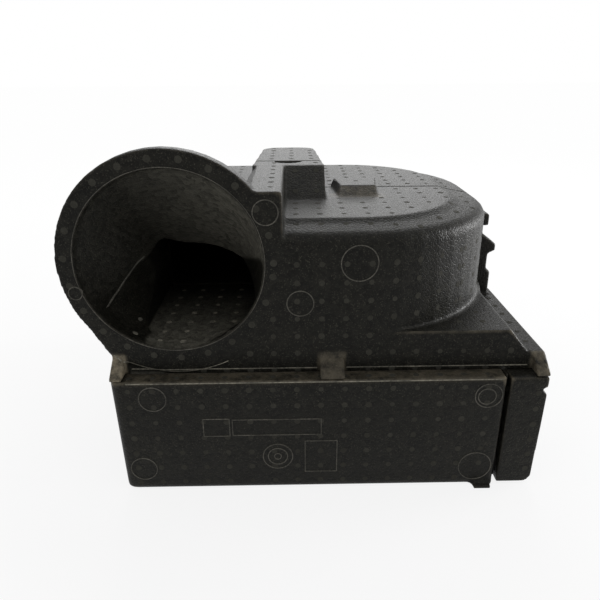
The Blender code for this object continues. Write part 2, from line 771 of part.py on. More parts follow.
def mouth_loop(grow):
    """Return the inner end of the collar's horn, a slanting opening with a skewed left side.

    Each point starts on the bore's circle and falls, draws in and runs back with its share
    of the way from floor to ceiling. `grow` pushes it outwards to give the horn its wall.
    """
    radius = COLLAR_BORE_RADIUS + grow
    points = []
    for n in range(COLLAR_SEGMENTS):
        angle = 2 * pi * n / COLLAR_SEGMENTS - pi / 2
        across = cos(angle)
        swing = MOUTH_SWING * min(1, max(0, -MOUTH_SKEW * across))
        share = (1 + sin(angle + swing)) / 2
        draw = MOUTH_DRAW_LEFT if across < 0 else MOUTH_DRAW_RIGHT
        points.append(Vector((
            COLLAR_X + radius * across - draw * share * across * abs(across),
            LEDGE_DEPTH + COLLAR_PLATE + FLUSH_STEP
            + (HORN_DEPTH - COLLAR_PLATE) * min(1, MOUTH_SLANT * share),
            max(FLOOR_TOP - grow, COLLAR_Z + radius * sin(angle) - MOUTH_FALL * share),
        )))
    return points


def drawn_in(loop, run, left):
    """Return a loop moved back by a run and narrowed until its left side is at a limit."""
    far_left = min(p.x for p in loop)
    far_right = max(p.x for p in loop)
    scale = (far_right - left) / (far_right - far_left)
    return [Vector((far_right - (far_right - p.x) * scale, p.y + run, p.z)) for p in loop]


def horn_solid(fairing):
    """Return the collar's plate and its tapering horn, with the outer fairing if asked."""
    plate = lift(collar_rim(), LEDGE_DEPTH, "Y")
    rear = lift(collar_rim(), LEDGE_DEPTH + COLLAR_PLATE, "Y")
    mouth = mouth_loop(HORN_WALL)
    loops = [plate, rear, mouth]
    if fairing:
        loops.append(drawn_in(mouth, HORN_RUN, DOME_LEFT + OVERLAP))
    return loft(loops)


def horn_bore():
    """Return the cutter of the collar's bore, the horn and the way into the dome."""
    ring = circle(COLLAR_X, COLLAR_Z, COLLAR_BORE_RADIUS, COLLAR_SEGMENTS)
    mouth = mouth_loop(0)
    return loft([
        lift(ring, LEDGE_DEPTH - OVERLAP, "Y"),
        lift(ring, LEDGE_DEPTH + COLLAR_STEP, "Y"),
        mouth,
        drawn_in(mouth, HORN_RUN, DOME_LEFT + DOME_WALL + FLUSH_STEP),
    ])


def collar_foot_web():
    """Return the foam under the collar that joins it to the hood's left side."""
    side = FLUSH_STEP
    inner = COLLAR_X + COLLAR_RADIUS / 3
    low = FLOOR_UNDERSIDE + FLUSH_STEP
    radius = COLLAR_FOOT_RADIUS
    shoulder = (COLLAR_X + radius * cos(FOOT_START), COLLAR_Z + radius * sin(FOOT_START))
    outline = [Vector(pair) for pair in (
        (side, low), (inner, low), (inner, DECK_HEIGHT + OVERLAP),
        (COLLAR_X, DECK_HEIGHT + OVERLAP), shoulder, (side, SKIRT_TOP),
    )]
    return prism(outline, LEDGE_DEPTH + 4 * FLUSH_STEP, LEDGE_DEPTH + COLLAR_PLATE, "Y")


def collar_step():
    """Return the shallow recess below the collar's foot, from the left post fading to the right."""
    low = LEDGE_HEIGHT + CLEARANCE - OVERLAP
    radius = COLLAR_FOOT_RADIUS
    start = 2 * pi - acos((POST_WIDTH + LUG_NOSE - COLLAR_X) / radius)
    arc = []
    for n in range(FOOT_STEPS + 1):
        angle = start + (FOOT_END - start) * n / FOOT_STEPS
        arc.append((COLLAR_X + radius * cos(angle), COLLAR_Z + radius * sin(angle)))
    reach = arc[-1][0]
    outline = arc + [(reach, low), (arc[0][0], low)]
    front = [Vector((x, LEDGE_DEPTH - OVERLAP, z)) for x, z in outline]
    back = [Vector((x, LEDGE_DEPTH + COLLAR_STEP * (1 - x / reach), z)) for x, z in outline]
    return loft([front, back])


def channel_solids():
    """Return the ear beside the collar, the raised channel and its front ramp."""
    below = FLOOR_TOP + DOME_WALL
    ear_right = EAR_LEFT + EAR_WIDTH
    right = CHANNEL_LEFT + CHANNEL_WIDTH
    ear = fillet_outline([
        (EAR_LEFT - EAR_FLARE, below, 0), (ear_right, below, 0),
        (ear_right, CHANNEL_TOP, OVERLAP), (EAR_LEFT, CHANNEL_TOP, OVERLAP),
        (EAR_LEFT - EAR_FLARE, CHANNEL_TOP - EAR_SLOPE, 0),
    ])
    foot = CHANNEL_FRONT - RAMP_RUN
    crest = CHANNEL_TOP - 2 * FLUSH_STEP
    ramp = [Vector(pair) for pair in (
        (foot, DOME_TOP - OVERLAP), (CHANNEL_FRONT + OVERLAP, DOME_TOP - OVERLAP),
        (CHANNEL_FRONT + OVERLAP, crest), (CHANNEL_FRONT, crest), (foot, DOME_TOP),
    )]
    plan = fillet_outline([
        (CHANNEL_LEFT, CHANNEL_FRONT, 0), (right, CHANNEL_FRONT, 0),
        (right - CHANNEL_TAPER, CHANNEL_BACK, CHANNEL_ROUND),
        (CHANNEL_LEFT + CHANNEL_TAPER, CHANNEL_BACK, CHANNEL_ROUND),
    ])
    return [
        prism(ear, LEDGE_DEPTH + FLUSH_STEP, CHANNEL_FRONT + OVERLAP, "Y"),
        prism(plan, DOME_SHOULDER, CHANNEL_TOP - FLUSH_STEP, "Z"),
        prism(ramp, EAR_LEFT + OVERLAP, right - 3 * FLUSH_STEP, "X"),
    ]


def plenum():
    """Return the cutter of the space inside the dome, above its floor."""
    top = DOME_TOP - DOME_WALL
    loops = [lift(dome_outline(DOME_WALL, DOME_WALL), FLOOR_TOP, "Z")]
    for level, inset in fillet_levels(top - DOME_FILLET, DOME_FILLET, pi / 2, 3):
        loops.append(lift(dome_outline(DOME_WALL + inset, DOME_WALL + inset), level, "Z"))
    return loft(loops)


def under_floor():
    """Return the cutters of the space under the dome's floor and of the eye through it."""
    reach = SEAL_LEDGE
    low = HOOD_BASE - OVERLAP
    eye_y = LEDGE_DEPTH + FRONT_RIGHT_RADIUS
    recess = block(TRAY_WALL + reach, FRAME_RIGHT - reach, BAY_FRONT + reach, BAY_BACK - reach,
                   low, FLOOR_UNDERSIDE)
    eye = prism(circle(EYE_X, eye_y, EYE_RADIUS, COLLAR_SEGMENTS), low, FLOOR_TOP + OVERLAP, "Z")
    return [recess, eye]


def hood_solid():
    """Return the whole hood before it is parted at the seam."""
    hood = add(rim_solid(), dome_solid(), *channel_solids(), collar_foot_web(), horn_solid(True),
               *front_lugs())
    space = cut(plenum(), horn_solid(False))
    return cut(hood, *under_floor(), space, horn_bore(), collar_step())


def half_space(front):
    """Return a block that covers the hood on one side of the seam."""
    far = BOX_DEPTH + BOX_WIDTH
    if front:
        return block(-far, far, SEAM_Y - SEAM_GAP / 2, far, -far, far)
    return block(-far, far, -far, SEAM_Y + SEAM_GAP / 2, -far, far)


def tongue():
    """Return the tapering lug that laps over the seam, with a sloping front and a leaning left side."""
    left = TONGUE_LEFT
    right = TONGUE_LEFT + TONGUE_WIDTH
    back = SEAM_Y + TONGUE_LAP
    crest = TONGUE_FRONT + TONGUE_RAMP
    foot = [Vector(pair) for pair in (
        (left + TONGUE_TAPER, TONGUE_FRONT), (right - TONGUE_TAPER, TONGUE_FRONT), (right, back),
        (left, back),
    )]
    top = [Vector(pair) for pair in (
        (left + TONGUE_TAPER + TONGUE_LEAN, crest), (right - TONGUE_TAPER, crest), (right, back),
        (left + TONGUE_LEAN, back),
    )]
    lug = loft([
        lift(foot, DOME_TOP - OVERLAP, "Z"),
        lift(foot, DOME_TOP, "Z"),
        lift(top, DOME_TOP + TONGUE_HEIGHT, "Z"),
    ])
    return cut(lug, block(left - OVERLAP, right + OVERLAP, SEAM_Y - SEAM_GAP / 2 - CLEARANCE, back + OVERLAP,
                          DOME_TOP - 2 * OVERLAP, DOME_TOP + 2 * CLEARANCE))


def make_front_hood():
    """Return the front half with the collar, the seam tongue, the side catch and a finger notch."""
    seam = SEAM_Y - SEAM_GAP / 2
    notch = prism(circle(NOTCH_X, seam, NOTCH_RADIUS, COLLAR_SEGMENTS // 2),
                  CHANNEL_TOP - NOTCH_DEPTH, CHANNEL_TOP + OVERLAP, "Z")
    hood = cut(hood_solid(), half_space(True), notch)
    right = BOX_WIDTH - CATCH_INSET
    nose = right + CATCH_NOSE_REACH
    slot = right - CATCH_SLOT_DEPTH
    root_x = DOME_RIGHT - DOME_WALL / 2
    nose_top = CATCH_NOSE_BASE + CATCH_NOSE_HEIGHT
    catch = [Vector(pair) for pair in (
        (root_x, FLOOR_TOP), (right, HOOD_BASE + OVERLAP), (right, CATCH_SLOT_BASE),
        (slot, CATCH_SLOT_BASE + OVERLAP), (slot, CATCH_NOSE_BASE),
        (nose, CATCH_NOSE_BASE + OVERLAP), (nose, nose_top),
        (DOME_RIGHT + CATCH_SLOT_DEPTH * 2, CATCH_TOP), (root_x, CATCH_TOP),
    )]
    return add(hood, tongue(), prism(catch, seam - CATCH_DEPTH, seam - CLEARANCE, "Y"))


def seam_seal_outline(inset):
    """Return the arch that the seam seal follows inside the hood's wall, open at its foot."""
    middle = DOME_WALL / 2
    left = DOME_LEFT + middle + inset
    right = DOME_RIGHT - middle - inset
    top = DOME_TOP - middle - DOME_BAND_DROP - inset
    bend = SEAM_BEND - inset
    foot = HOOD_BASE + SEAL_LEDGE
    return fillet_outline([(left, foot, 0), (left, top, bend), (right, top, bend), (right, foot, 0)])


def seam_strip(grow, near, far):
    """Return the arched strip of the seam seal, or its groove when grown."""
    half = SEAM_SEAL_WIDTH / 2 + grow
    outline = seam_seal_outline(-half) + seam_seal_outline(half)[::-1]
    return prism(outline, near, far, "Y")


def make_rear_hood():
    """Return the rear half with the seal groove and the keeper beside the catch."""
    hood = cut(hood_solid(), half_space(False))
    seam = SEAM_Y + SEAM_GAP / 2
    keeper = block(DOME_RIGHT - DOME_WALL / 2, KEEPER_RIGHT, seam + CLEARANCE, seam + KEEPER_LENGTH,
                   KEEPER_BASE, KEEPER_TOP)
    add(hood, keeper)
    return cut(hood, seam_strip(CLEARANCE, seam - OVERLAP, seam + SEAM_SEAL_DEPTH))


def make_seam_seal():
    """Return the foam strip that closes the hood's seam."""
    seam = SEAM_Y + SEAM_GAP / 2
    return seam_strip(0, seam, seam + SEAM_SEAL_DEPTH - CLEARANCE)


# Assembly


def make_joint_frame(name, place, root):
    """Return an empty that carries one moving body."""
    empty = bpy.data.objects.new(name, None)
    bpy.context.scene.collection.objects.link(empty)
    empty.location = place
    empty.parent = root
    return empty


def install(item, name, material, frame, place):
    """Name a piece, give it its finish and hang it on its body's empty."""
    item.name = name
    item.data.name = name
    item.data.transform(Matrix.Translation(-place))
    item.data.materials.clear()
    item.data.materials.append(material)
    item.data.shade_smooth()
    item.data.set_sharp_from_angle(angle=radians(30))
    item.parent = frame


def main():
    """Build every piece and hang it on the body that carries it."""
    clear_scene()
    foam = make_material("black_bead_foam", (0.021, 0.021, 0.018), 0.78)
    seal = make_material("seal_foam", (0.03, 0.03, 0.032), 0.9)
    black = make_material("black_plastic", (0.02, 0.02, 0.021), 0.5)
    grey = make_material("grey_plastic", (0.3, 0.31, 0.32), 0.45)
    paper = make_material("pleated_paper", (0.72, 0.66, 0.5), 0.85)
    mat = make_material("coarse_fibre", (0.75, 0.76, 0.76), 0.95)
    steel = make_material("zinc_wire", (0.62, 0.63, 0.64), 0.35, 1.0)

    root = make_joint_frame("housing_frame", -ORIGIN, None)
    drawer_place = Vector((DRAWER_FACE, BOX_DEPTH / 2, FRAME_BASE))
    front_place = Vector((COLLAR_X, LEDGE_DEPTH, COLLAR_Z))
    rear_place = Vector((BOX_WIDTH / 2, SEAM_Y, HOOD_BASE))
    tray = make_joint_frame("tray_frame", Vector(), root)
    drawer = make_joint_frame("drawer_slide", drawer_place, root)
    front = make_joint_frame("front_hood_lift", front_place, root)
    rear = make_joint_frame("rear_hood_slide", rear_place, root)

    pieces = [
        ("lower_tray", make_lower_tray(), foam, tray),
        ("tray_seal", make_tray_seal(), seal, tray),
        ("guide_strip_front", make_guide_strip(True), grey, tray),
        ("guide_strip_rear", make_guide_strip(False), grey, tray),
        ("inlet_grille", make_inlet_grille(), black, tray),
        ("drawer_front", make_drawer_front(), foam, drawer),
        ("drawer_seal", make_drawer_seal(), seal, drawer),
        ("cassette_clip_front", make_cassette_clip(True), grey, drawer),
        ("cassette_clip_rear", make_cassette_clip(False), grey, drawer),
        ("filter_frame_front", make_frame_rail("front"), grey, drawer),
        ("filter_frame_rear", make_frame_rail("rear"), grey, drawer),
        ("filter_frame_left", make_frame_rail("left"), grey, drawer),
        ("filter_frame_right", make_frame_rail("right"), grey, drawer),
        ("coarse_mat", make_coarse_mat(), mat, drawer),
        ("filter_media", make_filter_media(), paper, drawer),
        ("support_grid", make_support_grid(), steel, drawer),
        ("filter_gasket", make_filter_gasket(), seal, drawer),
        ("front_hood", make_front_hood(), foam, front),
        ("rear_hood", make_rear_hood(), foam, rear),
        ("seam_seal", make_seam_seal(), seal, rear),
    ]
    for name, (x, z) in zip(PIN_NAMES, pin_places()):
        pieces.append(("grille_pin_" + name, make_grille_pin(x, z), black, tray))
    for name, item, material, frame in pieces:
        install(item, name, material, frame, frame.location)


main()
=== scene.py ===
"""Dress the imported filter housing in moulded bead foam, seal foam, paper, wire and plastic."""

import json
import logging
import math
from dataclasses import dataclass
from enum import Enum
from typing import Any, Optional, Sequence

import bmesh
import bpy
import numpy as np
from mathutils import Euler, Matrix, Vector, noise
from mathutils.bvhtree import BVHTree

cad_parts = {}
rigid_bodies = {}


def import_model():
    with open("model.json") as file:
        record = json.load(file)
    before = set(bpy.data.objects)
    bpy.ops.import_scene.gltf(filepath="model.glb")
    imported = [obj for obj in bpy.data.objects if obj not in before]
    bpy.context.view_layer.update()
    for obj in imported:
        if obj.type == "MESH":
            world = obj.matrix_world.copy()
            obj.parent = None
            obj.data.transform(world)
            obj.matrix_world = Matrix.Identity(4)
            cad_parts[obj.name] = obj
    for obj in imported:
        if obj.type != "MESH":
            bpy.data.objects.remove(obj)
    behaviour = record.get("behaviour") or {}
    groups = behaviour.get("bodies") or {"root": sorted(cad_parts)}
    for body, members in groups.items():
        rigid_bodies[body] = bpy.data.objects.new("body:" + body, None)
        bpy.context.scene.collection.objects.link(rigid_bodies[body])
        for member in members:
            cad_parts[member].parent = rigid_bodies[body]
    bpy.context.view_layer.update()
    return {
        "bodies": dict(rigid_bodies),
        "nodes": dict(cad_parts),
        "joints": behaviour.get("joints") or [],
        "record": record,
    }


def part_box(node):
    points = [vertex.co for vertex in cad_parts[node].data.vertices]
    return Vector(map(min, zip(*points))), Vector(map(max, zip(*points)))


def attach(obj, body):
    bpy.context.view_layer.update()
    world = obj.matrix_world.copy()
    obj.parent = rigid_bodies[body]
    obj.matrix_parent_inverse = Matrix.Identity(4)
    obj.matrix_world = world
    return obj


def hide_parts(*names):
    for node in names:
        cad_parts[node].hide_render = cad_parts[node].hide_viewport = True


LOG = logging.getLogger("filter_housing")
MM = 0.001
# Row-frame place of the box's left front foot, in millimetres.
BOX_CORNER = Vector((-167.5, -169.0, 0.0))
# Middle of the collar, in millimetres from the box's left and from its underside.
COLLAR = (56.0, 209.1)
# Points of a CAD node that are closer than this are one point.
WELD = 0.005 * MM
# Edges that bend more than these angles are rounded, or shaded sharp.
BEVEL_ANGLE, SHARP_ANGLE, WIRE_ANGLE = math.radians(35), math.radians(28), math.radians(50)
# Most values of a noise lie between these.
NOISE_RANGE = (0.3, 0.7)
Pair, Triple, Four = tuple[float, float], tuple[float, float, float], tuple[float, float, float, float]
Colour = Four
Tree, Socket, Material = bpy.types.NodeTree, bpy.types.NodeSocket, bpy.types.Material
Thing, Mesh = bpy.types.Object, bpy.types.Mesh


class Slot(str, Enum):
    """Material slots of the record."""

    FOAM = "black_bead_foam"
    SEAL = "seal_foam"
    BLACK = "black_plastic"
    GREY = "grey_plastic"
    PAPER = "pleated_paper"
    FIBRE = "coarse_fibre"
    WIRE = "zinc_wire"


class Body(str, Enum):
    """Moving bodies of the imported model."""

    BASE = "housing_base"
    DRAWER = "filter_drawer"
    FRONT = "hood_front_half"
    REAR = "hood_rear_half"


class Side(Enum):
    """Sides that a field of vent dots looks at: the way of the rays, and the turn of its grid."""

    FRONT = ((0, 1, 0), (90, 0, 0))
    BACK = ((0, -1, 0), (90, 0, 0))
    LEFT = ((1, 0, 0), (90, 0, 90))
    RIGHT = ((-1, 0, 0), (90, 0, 90))
    TOP = ((0, 0, -1), (0, 0, 0))
    UNDER = ((0, 0, 1), (0, 0, 0))


def spot(x: float, y: float, z: float) -> Vector:
    """Give the row-frame place of a point measured from the box's left front foot.

    Args:
        x: Millimetres to the right.
        y: Millimetres to the back.
        z: Millimetres up.

    Returns:
        The place in metres.
    """
    return (BOX_CORNER + Vector((x, y, z))) * MM


@dataclass(frozen=True)
class Zone:
    """A box in millimetres from the box's left front foot, and how strongly something shows in it."""

    across: Pair
    back: Pair
    up: Pair
    level: float = 1.0

    def holds(self, points: np.ndarray) -> np.ndarray:
        """Tell which of some row-frame points lie in the zone."""
        low, high = (np.array(spot(*corner)) for corner in zip(self.across, self.back, self.up))
        return np.all((points >= low) & (points <= high), axis=1)


@dataclass(frozen=True)
class PaintedFunnelLight:
    """Painted light inside the collar: how much paler its floor and right wall are painted where light
    falls, in millimetres.
    """

    middle: Pair = COLLAR
    radius: float = 75.6
    throat: float = 56.0
    depth: Pair = (18.5, 90.0)
    # Painted light: the walls are painted paler towards the right, the floor paler towards the front and
    # left.
    walls: Pair = (0.04, 0.65)
    floor: float = 139.0
    floor_share: float = 0.7
    floor_right: Pair = (95.0, 150.0)
    floor_back: Pair = (70.0, 160.0)
    slack: float = 4.0
    most_back: float = 0.5
    least_up: float = 0.3

    def share(self, points: np.ndarray, normals: np.ndarray) -> np.ndarray:
        """Give the share of painted light at some points.

        Args:
            points: Row-frame places.
            normals: Directions of the surface there.

        Returns:
            One share from 0 to 1 for each point.
        """
        across, back, up = ((points / MM) - np.array(BOX_CORNER)).T
        middle_x, middle_z = self.middle
        limit = np.interp(back, self.depth, (self.radius, self.throat))
        bore = np.hypot(across - middle_x, up - middle_z) < limit
        side = np.interp(across, (middle_x - self.radius / 2, middle_x + self.radius), self.walls)
        fade = np.interp(across, self.floor_right, (1, 0)) * np.interp(back, self.floor_back, (1, 0))
        inward = (middle_x - across) * normals[:, 0] + (middle_z - up) * normals[:, 2]
        inside = bore * (inward > -self.slack) * (normals[:, 1] < self.most_back)
        level = self.floor_share * fade * (normals[:, 2] > self.least_up)
        return (back > self.depth[0]) * np.where(up < self.floor, level, inside * side)


def linear(code: str) -> Colour:
    """Turn an sRGB hex colour into linear light.

    Args:
        code: The colour, as a hash sign and six digits.

    Returns:
        Its linear parts with full cover.
    """
    parts = [int(code[n:n + 2], 16) / 255 for n in (1, 3, 5)]
    red, green, blue = (c / 12.92 if c <= 0.04045 else ((c + 0.055) / 1.055) ** 2.4 for c in parts)
    return red, green, blue, 1.0


def add_node(tree: Tree, kind: str, inputs: Optional[dict] = None, **settings: Any) -> bpy.types.Node:
    """Add one node with its settings, and fill or link its inputs.

    Args:
        tree: The node tree.
        kind: Blender's name of the node type.
        inputs: Values or output sockets, by input name or number.
        settings: Properties of the node.

    Returns:
        The new node.
    """
    node = tree.nodes.new(kind)
    for name, value in settings.items():
        setattr(node, name, value)
    for key, value in (inputs or {}).items():
        if isinstance(value, Socket):
            tree.links.new(value, node.inputs[key])
        else:
            node.inputs[key].default_value = value
    return node


def made(tree: Tree, kind: str, inputs: Optional[dict] = None, **settings: Any) -> Socket:
    """Add one node by add_node and give its first output."""
    return add_node(tree, kind, inputs, **settings).outputs[0]


def calc(tree: Tree, operation: str, *values: Any) -> Socket:
    """Add one sum of numbers and give its result."""
    return made(tree, "ShaderNodeMath", dict(enumerate(values)), operation=operation)


def measure(tree: Tree, operation: str, *values: Any) -> Socket:
    """Add one sum of vectors that gives a number."""
    node = add_node(tree, "ShaderNodeVectorMath", dict(enumerate(values)), operation=operation)
    return node.outputs["Value"]


def scaled(tree: Tree, vector: Any, scale: Socket) -> Socket:
    """Add one node that scales a vector."""
    return made(tree, "ShaderNodeVectorMath", {0: vector, "Scale": scale}, operation="SCALE")


def ranged(tree: Tree, value: Socket, low: float, high: float, to_low: float = 0.0,
           to_high: float = 1.0) -> Socket:
    """Add one node that maps a value from one range to another."""
    return made(tree, "ShaderNodeMapRange", {
        "Value": value, "From Min": low, "From Max": high, "To Min": to_low, "To Max": to_high})


def blend(tree: Tree, share: Any, first: Any, second: Any, mode: str = "MIX") -> Socket:
    """Add one node that blends two colours."""
    return add_node(tree, "ShaderNodeMix", {0: share, 6: first, 7: second}, data_type="RGBA",
                    blend_type=mode).outputs[2]


def grains(tree: Tree, place: Socket, size: float, detail: float = 3.0, rough: float = 0.5) -> Socket:
    """Add one noise whose grains have a size in millimetres."""
    return made(tree, "ShaderNodeTexNoise", {
        "Vector": place, "Scale": 1 / (size * MM), "Detail": detail, "Roughness": rough})


def stored(tree: Tree, name: str) -> Socket:
    """Add one node that reads a value that was stored at the piece's points."""
    return add_node(tree, "ShaderNodeAttribute", attribute_name=name).outputs["Fac"]


# Finishes


@dataclass(frozen=True)
class Finish:
    """One real material: its colour, the values of its surface and its bumps in millimetres."""

    name: str
    colour: str
    roughness: float
    ior: float = 1.5
    metallic: float = 0.0
    level: float = 0.5
    bump: float = 0.3
    depth: float = 0.2
    slot: Slot = Slot.FOAM

    def begin(self) -> tuple[Material, Socket]:
        """Start the material.

        Returns:
            The material and the object coordinates.
        """
        material = bpy.data.materials.new(self.name)
        material.use_nodes = True
        material.diffuse_color = linear(self.colour)
        shader = material.node_tree.nodes["Principled BSDF"]
        plain = {"Base Color": linear(self.colour), "Roughness": self.roughness, "Metallic": self.metallic,
                 "IOR": self.ior, "Specular IOR Level": self.level}
        for name, value in plain.items():
            shader.inputs[name].default_value = value
        return material, add_node(material.node_tree, "ShaderNodeTexCoord").outputs["Object"]

    def dress(self, tree: Tree, colour: Socket, sheen: Socket, height: Socket) -> None:
        """Give the shader a colour, a roughness and a bump that follow a texture.

        Args:
            tree: The material's tree.
            colour: The colour.
            sheen: The roughness.
            height: What bumps the surface.
        """
        bump = made(tree, "ShaderNodeBump", {
            "Height": height, "Strength": self.bump, "Distance": self.depth * MM})
        shader = tree.nodes["Principled BSDF"]
        for name, value in (("Base Color", colour), ("Roughness", sheen), ("Normal", bump)):
            tree.links.new(value, shader.inputs[name])


@dataclass(frozen=True)
class BeadFoam(Finish):
    """Expanded polypropylene, steam-moulded: fused beads with a faint skin sheen, edges rubbed pale, specks
    painted as glints, and painted light inside the collar, on the tray's ledge and as a highlight along the
    dome's front edge.

    The sizes of beads, specks, blotches and patches are in millimetres.
    """

    second: str = "#1e1d18"
    # The paler tone of the painted light inside the collar.
    funnel_light_colour: str = "#66645b"
    # Colour of the painted glints on the bead specks.
    painted_glint_colour: str = "#504e45"
    # Pale colour of wear, also used for a painted highlight and for painted light.
    wear_and_light_colour: str = "#968c78"
    bead: float = 3.4
    speck: float = 1.1
    speck_detail: float = 2.0
    blotch: float = 38.0
    patch: float = 9.0
    patch_noise: Pair = (4.0, 0.65)
    vary: Pair = (0.6, 1.4)
    glint: tuple[float, ...] = (0.58, 0.72, 0.0, 0.6)
    bends: Pair = (0.05, 0.2)
    patches: Pair = (0.3, 0.62)
    pits: float = 0.16
    sheen: Pair = (-0.08, 0.1)
    bump: float = 0.45
    depth: float = 0.35

    def material(self) -> Material:
        """Build the material: blotched bead tones, painted light inside the collar, specks painted as
        glints, pale rubbed edges with painted highlights, and bead bumps.

        Returns:
            The material.
        """
        material, place = self.begin()
        tree = material.node_tree
        cells = {"Vector": place, "Scale": 1 / (self.bead * MM)}
        beads = add_node(tree, "ShaderNodeTexVoronoi", cells)
        rims = add_node(tree, "ShaderNodeTexVoronoi", cells, feature="DISTANCE_TO_EDGE")
        speck = grains(tree, place, self.speck, self.speck_detail)
        tone = blend(tree, grains(tree, place, self.blotch), linear(self.colour), linear(self.second))
        # Painted light: the inside of the collar is blended towards the paler tone.
        funnel_lit_tone = blend(tree, stored(tree, "funnel"), tone, linear(self.funnel_light_colour))
        shade = made(tree, "ShaderNodeSeparateColor", {"Color": beads.outputs["Color"]})
        beaded = blend(tree, 1.0, funnel_lit_tone, ranged(tree, shade, 0.0, 1.0, *self.vary), "MULTIPLY")
        # Painted glints: the specks are blended towards a pale colour.
        painted_glints = blend(tree, ranged(tree, speck, *self.glint), beaded, linear(self.painted_glint_colour))
        edge = ranged(tree, stored(tree, "edge_bend"), *self.bends)
        # Edges painted pale: wear, and along the dome's front edge a painted highlight.
        line = calc(tree, "MULTIPLY", edge, stored(tree, "worn"))
        # Whole faces painted pale: rubbing, and on the tray's ledge painted light.
        most = calc(tree, "MAXIMUM", line, stored(tree, "rubbed"))
        patchy = ranged(tree, grains(tree, place, self.patch, *self.patch_noise), *self.patches)
        colour = blend(tree, calc(tree, "MULTIPLY", most, patchy), painted_glints, linear(self.wear_and_light_colour))
        sheen = ranged(tree, speck, *NOISE_RANGE, *(self.roughness + more for more in self.sheen))
        height = calc(tree, "ADD", ranged(tree, rims.outputs["Distance"], 0.0, self.pits), speck)
        self.dress(tree, colour, sheen, height)
        return material


@dataclass(frozen=True)
class GrainedFinish(Finish):
    """A surface with one grain in millimetres: a mottled colour, an uneven sheen and a fine bump."""

    second: str = "#ffffff"
    grain: float = 1.0
    broad: float = 14.0
    mottle: Pair = (0.12, 0.4)
    sheen: float = 0.07
    smoothest: float = 0.05
    stretch: Triple = (1.0, 1.0, 1.0)

    def material(self) -> Material:
        """Build the material from a broad and a fine noise in real sizes.

        Returns:
            The material.
        """
        material, place = self.begin()
        tree = material.node_tree
        turned = made(tree, "ShaderNodeMapping", {"Vector": place, "Scale": self.stretch})
        fine = grains(tree, turned, self.grain)
        both = calc(tree, "MULTIPLY", grains(tree, turned, self.grain * self.broad), fine)
        tone = blend(tree, ranged(tree, both, *self.mottle), linear(self.colour), linear(self.second))
        low = max(self.smoothest, self.roughness - self.sheen)
        sheen = ranged(tree, fine, *NOISE_RANGE, low, self.roughness + self.sheen)
        self.dress(tree, tone, sheen, fine)
        return material


class Coat(Enum):
    """The finish of each kind of surface."""

    # Expanded polypropylene: dark fused beads whose skin only shines at a low angle.
    FOAM = BeadFoam("moulded_bead_foam", "#121210", 0.42, level=0.14)
    # Vent plugs leave rougher foam, so a dot is paler from the front and darker at a low angle.
    VENT = GrainedFinish("vented_bead_foam", "#31302b", 0.85, level=0.15, second="#42413b",
                         grain=1.2, bump=0.4)
    # Lines of the mould stand a little proud and are painted paler than the foam, a painted highlight of
    # the light they catch; along the collar's crease the pale line is the fold's painted highlight.
    MARK = GrainedFinish("marked_bead_foam", "#3d3c37", 0.6, level=0.15, second="#6f6c64",
                         grain=1.5, bump=0.4)
    # Edges that hands and packing rub: the skin is gone and the beads are dusty. The dots on the horn's
    # floor take it as painted light.
    RUB = GrainedFinish("rubbed_bead_foam", "#52514b", 0.75, level=0.15, second="#a09b8c",
                        grain=2.0, bump=0.5)
    # Closed-cell foam strip: matt black; cells of 0.5 mm are drawn at 1 mm so that they show.
    SEAL = GrainedFinish("closed_cell_seal_foam", "#161617", 0.9, level=0.2, second="#2a2a2b", grain=1.0,
                         bump=0.6, depth=0.3, slot=Slot.SEAL)
    # Injection-moulded ABS: an even grey with a faint spark-eroded grain.
    GREY = GrainedFinish("moulded_grey_abs", "#8b8e91", 0.45, ior=1.53, second="#9b9ea1", grain=0.8,
                         bump=0.15, slot=Slot.GREY)
    # Injection-moulded polypropylene: black, a little shiny on the ribs.
    BLACK = GrainedFinish("moulded_black_polypropylene", "#161617", 0.42, ior=1.49, second="#232325",
                          grain=0.8, bump=0.15, slot=Slot.BLACK)
    # Resin-treated cellulose paper: cream, with fibres that run along the folds.
    PAPER = GrainedFinish("pleated_filter_paper", "#d8cba6", 0.85, level=0.25, second="#e9dfc2", grain=1.4,
                          stretch=(1.0, 0.2, 1.0), bump=0.35, slot=Slot.PAPER)
    # Bonded polyester fibre: off-white tangled strands.
    FIBRE = GrainedFinish("bonded_polyester_fibre", "#cfd2d3", 0.9, level=0.2, second="#eef0f0", grain=2.0,
                          stretch=(1.0, 0.4, 1.0), bump=0.7, depth=0.6, slot=Slot.FIBRE)
    # Galvanised steel wire: grey metal with a spangled sheen.
    WIRE = GrainedFinish("galvanised_wire", "#b4b8bb", 0.38, metallic=1.0, second="#d3d6d8", grain=2.2,
                         bump=0.15, slot=Slot.WIRE)


# Meshes


def link(name: str, mesh: Mesh) -> Thing:
    """Put a mesh in the scene as an object at the origin.

    Args:
        name: Name of the object.
        mesh: The mesh.

    Returns:
        The object.
    """
    thing = bpy.data.objects.new(name, mesh)
    bpy.context.scene.collection.objects.link(thing)
    return thing


def applied(thing: Thing) -> Mesh:
    """Give the mesh that an object has after its modifiers, and clear them.

    Args:
        thing: The object.

    Returns:
        The mesh.
    """
    bpy.context.view_layer.update()
    graph = bpy.context.evaluated_depsgraph_get()
    mesh = bpy.data.meshes.new_from_object(thing.evaluated_get(graph))
    thing.modifiers.clear()
    return mesh


def bake(piece: Thing) -> None:
    """Keep what a piece's modifiers make of its mesh, under the same name.

    Args:
        piece: The piece.
    """
    name = piece.data.name
    piece.data = applied(piece)
    piece.data.name = name


def shaped(name: str, shape: bmesh.types.BMesh) -> Thing:
    """Make an object of a shape and free the shape.

    Args:
        name: Name of the object and its mesh.
        shape: The shape.

    Returns:
        The object.
    """
    mesh = bpy.data.meshes.new(name)
    shape.to_mesh(mesh)
    shape.free()
    return link(name, mesh)


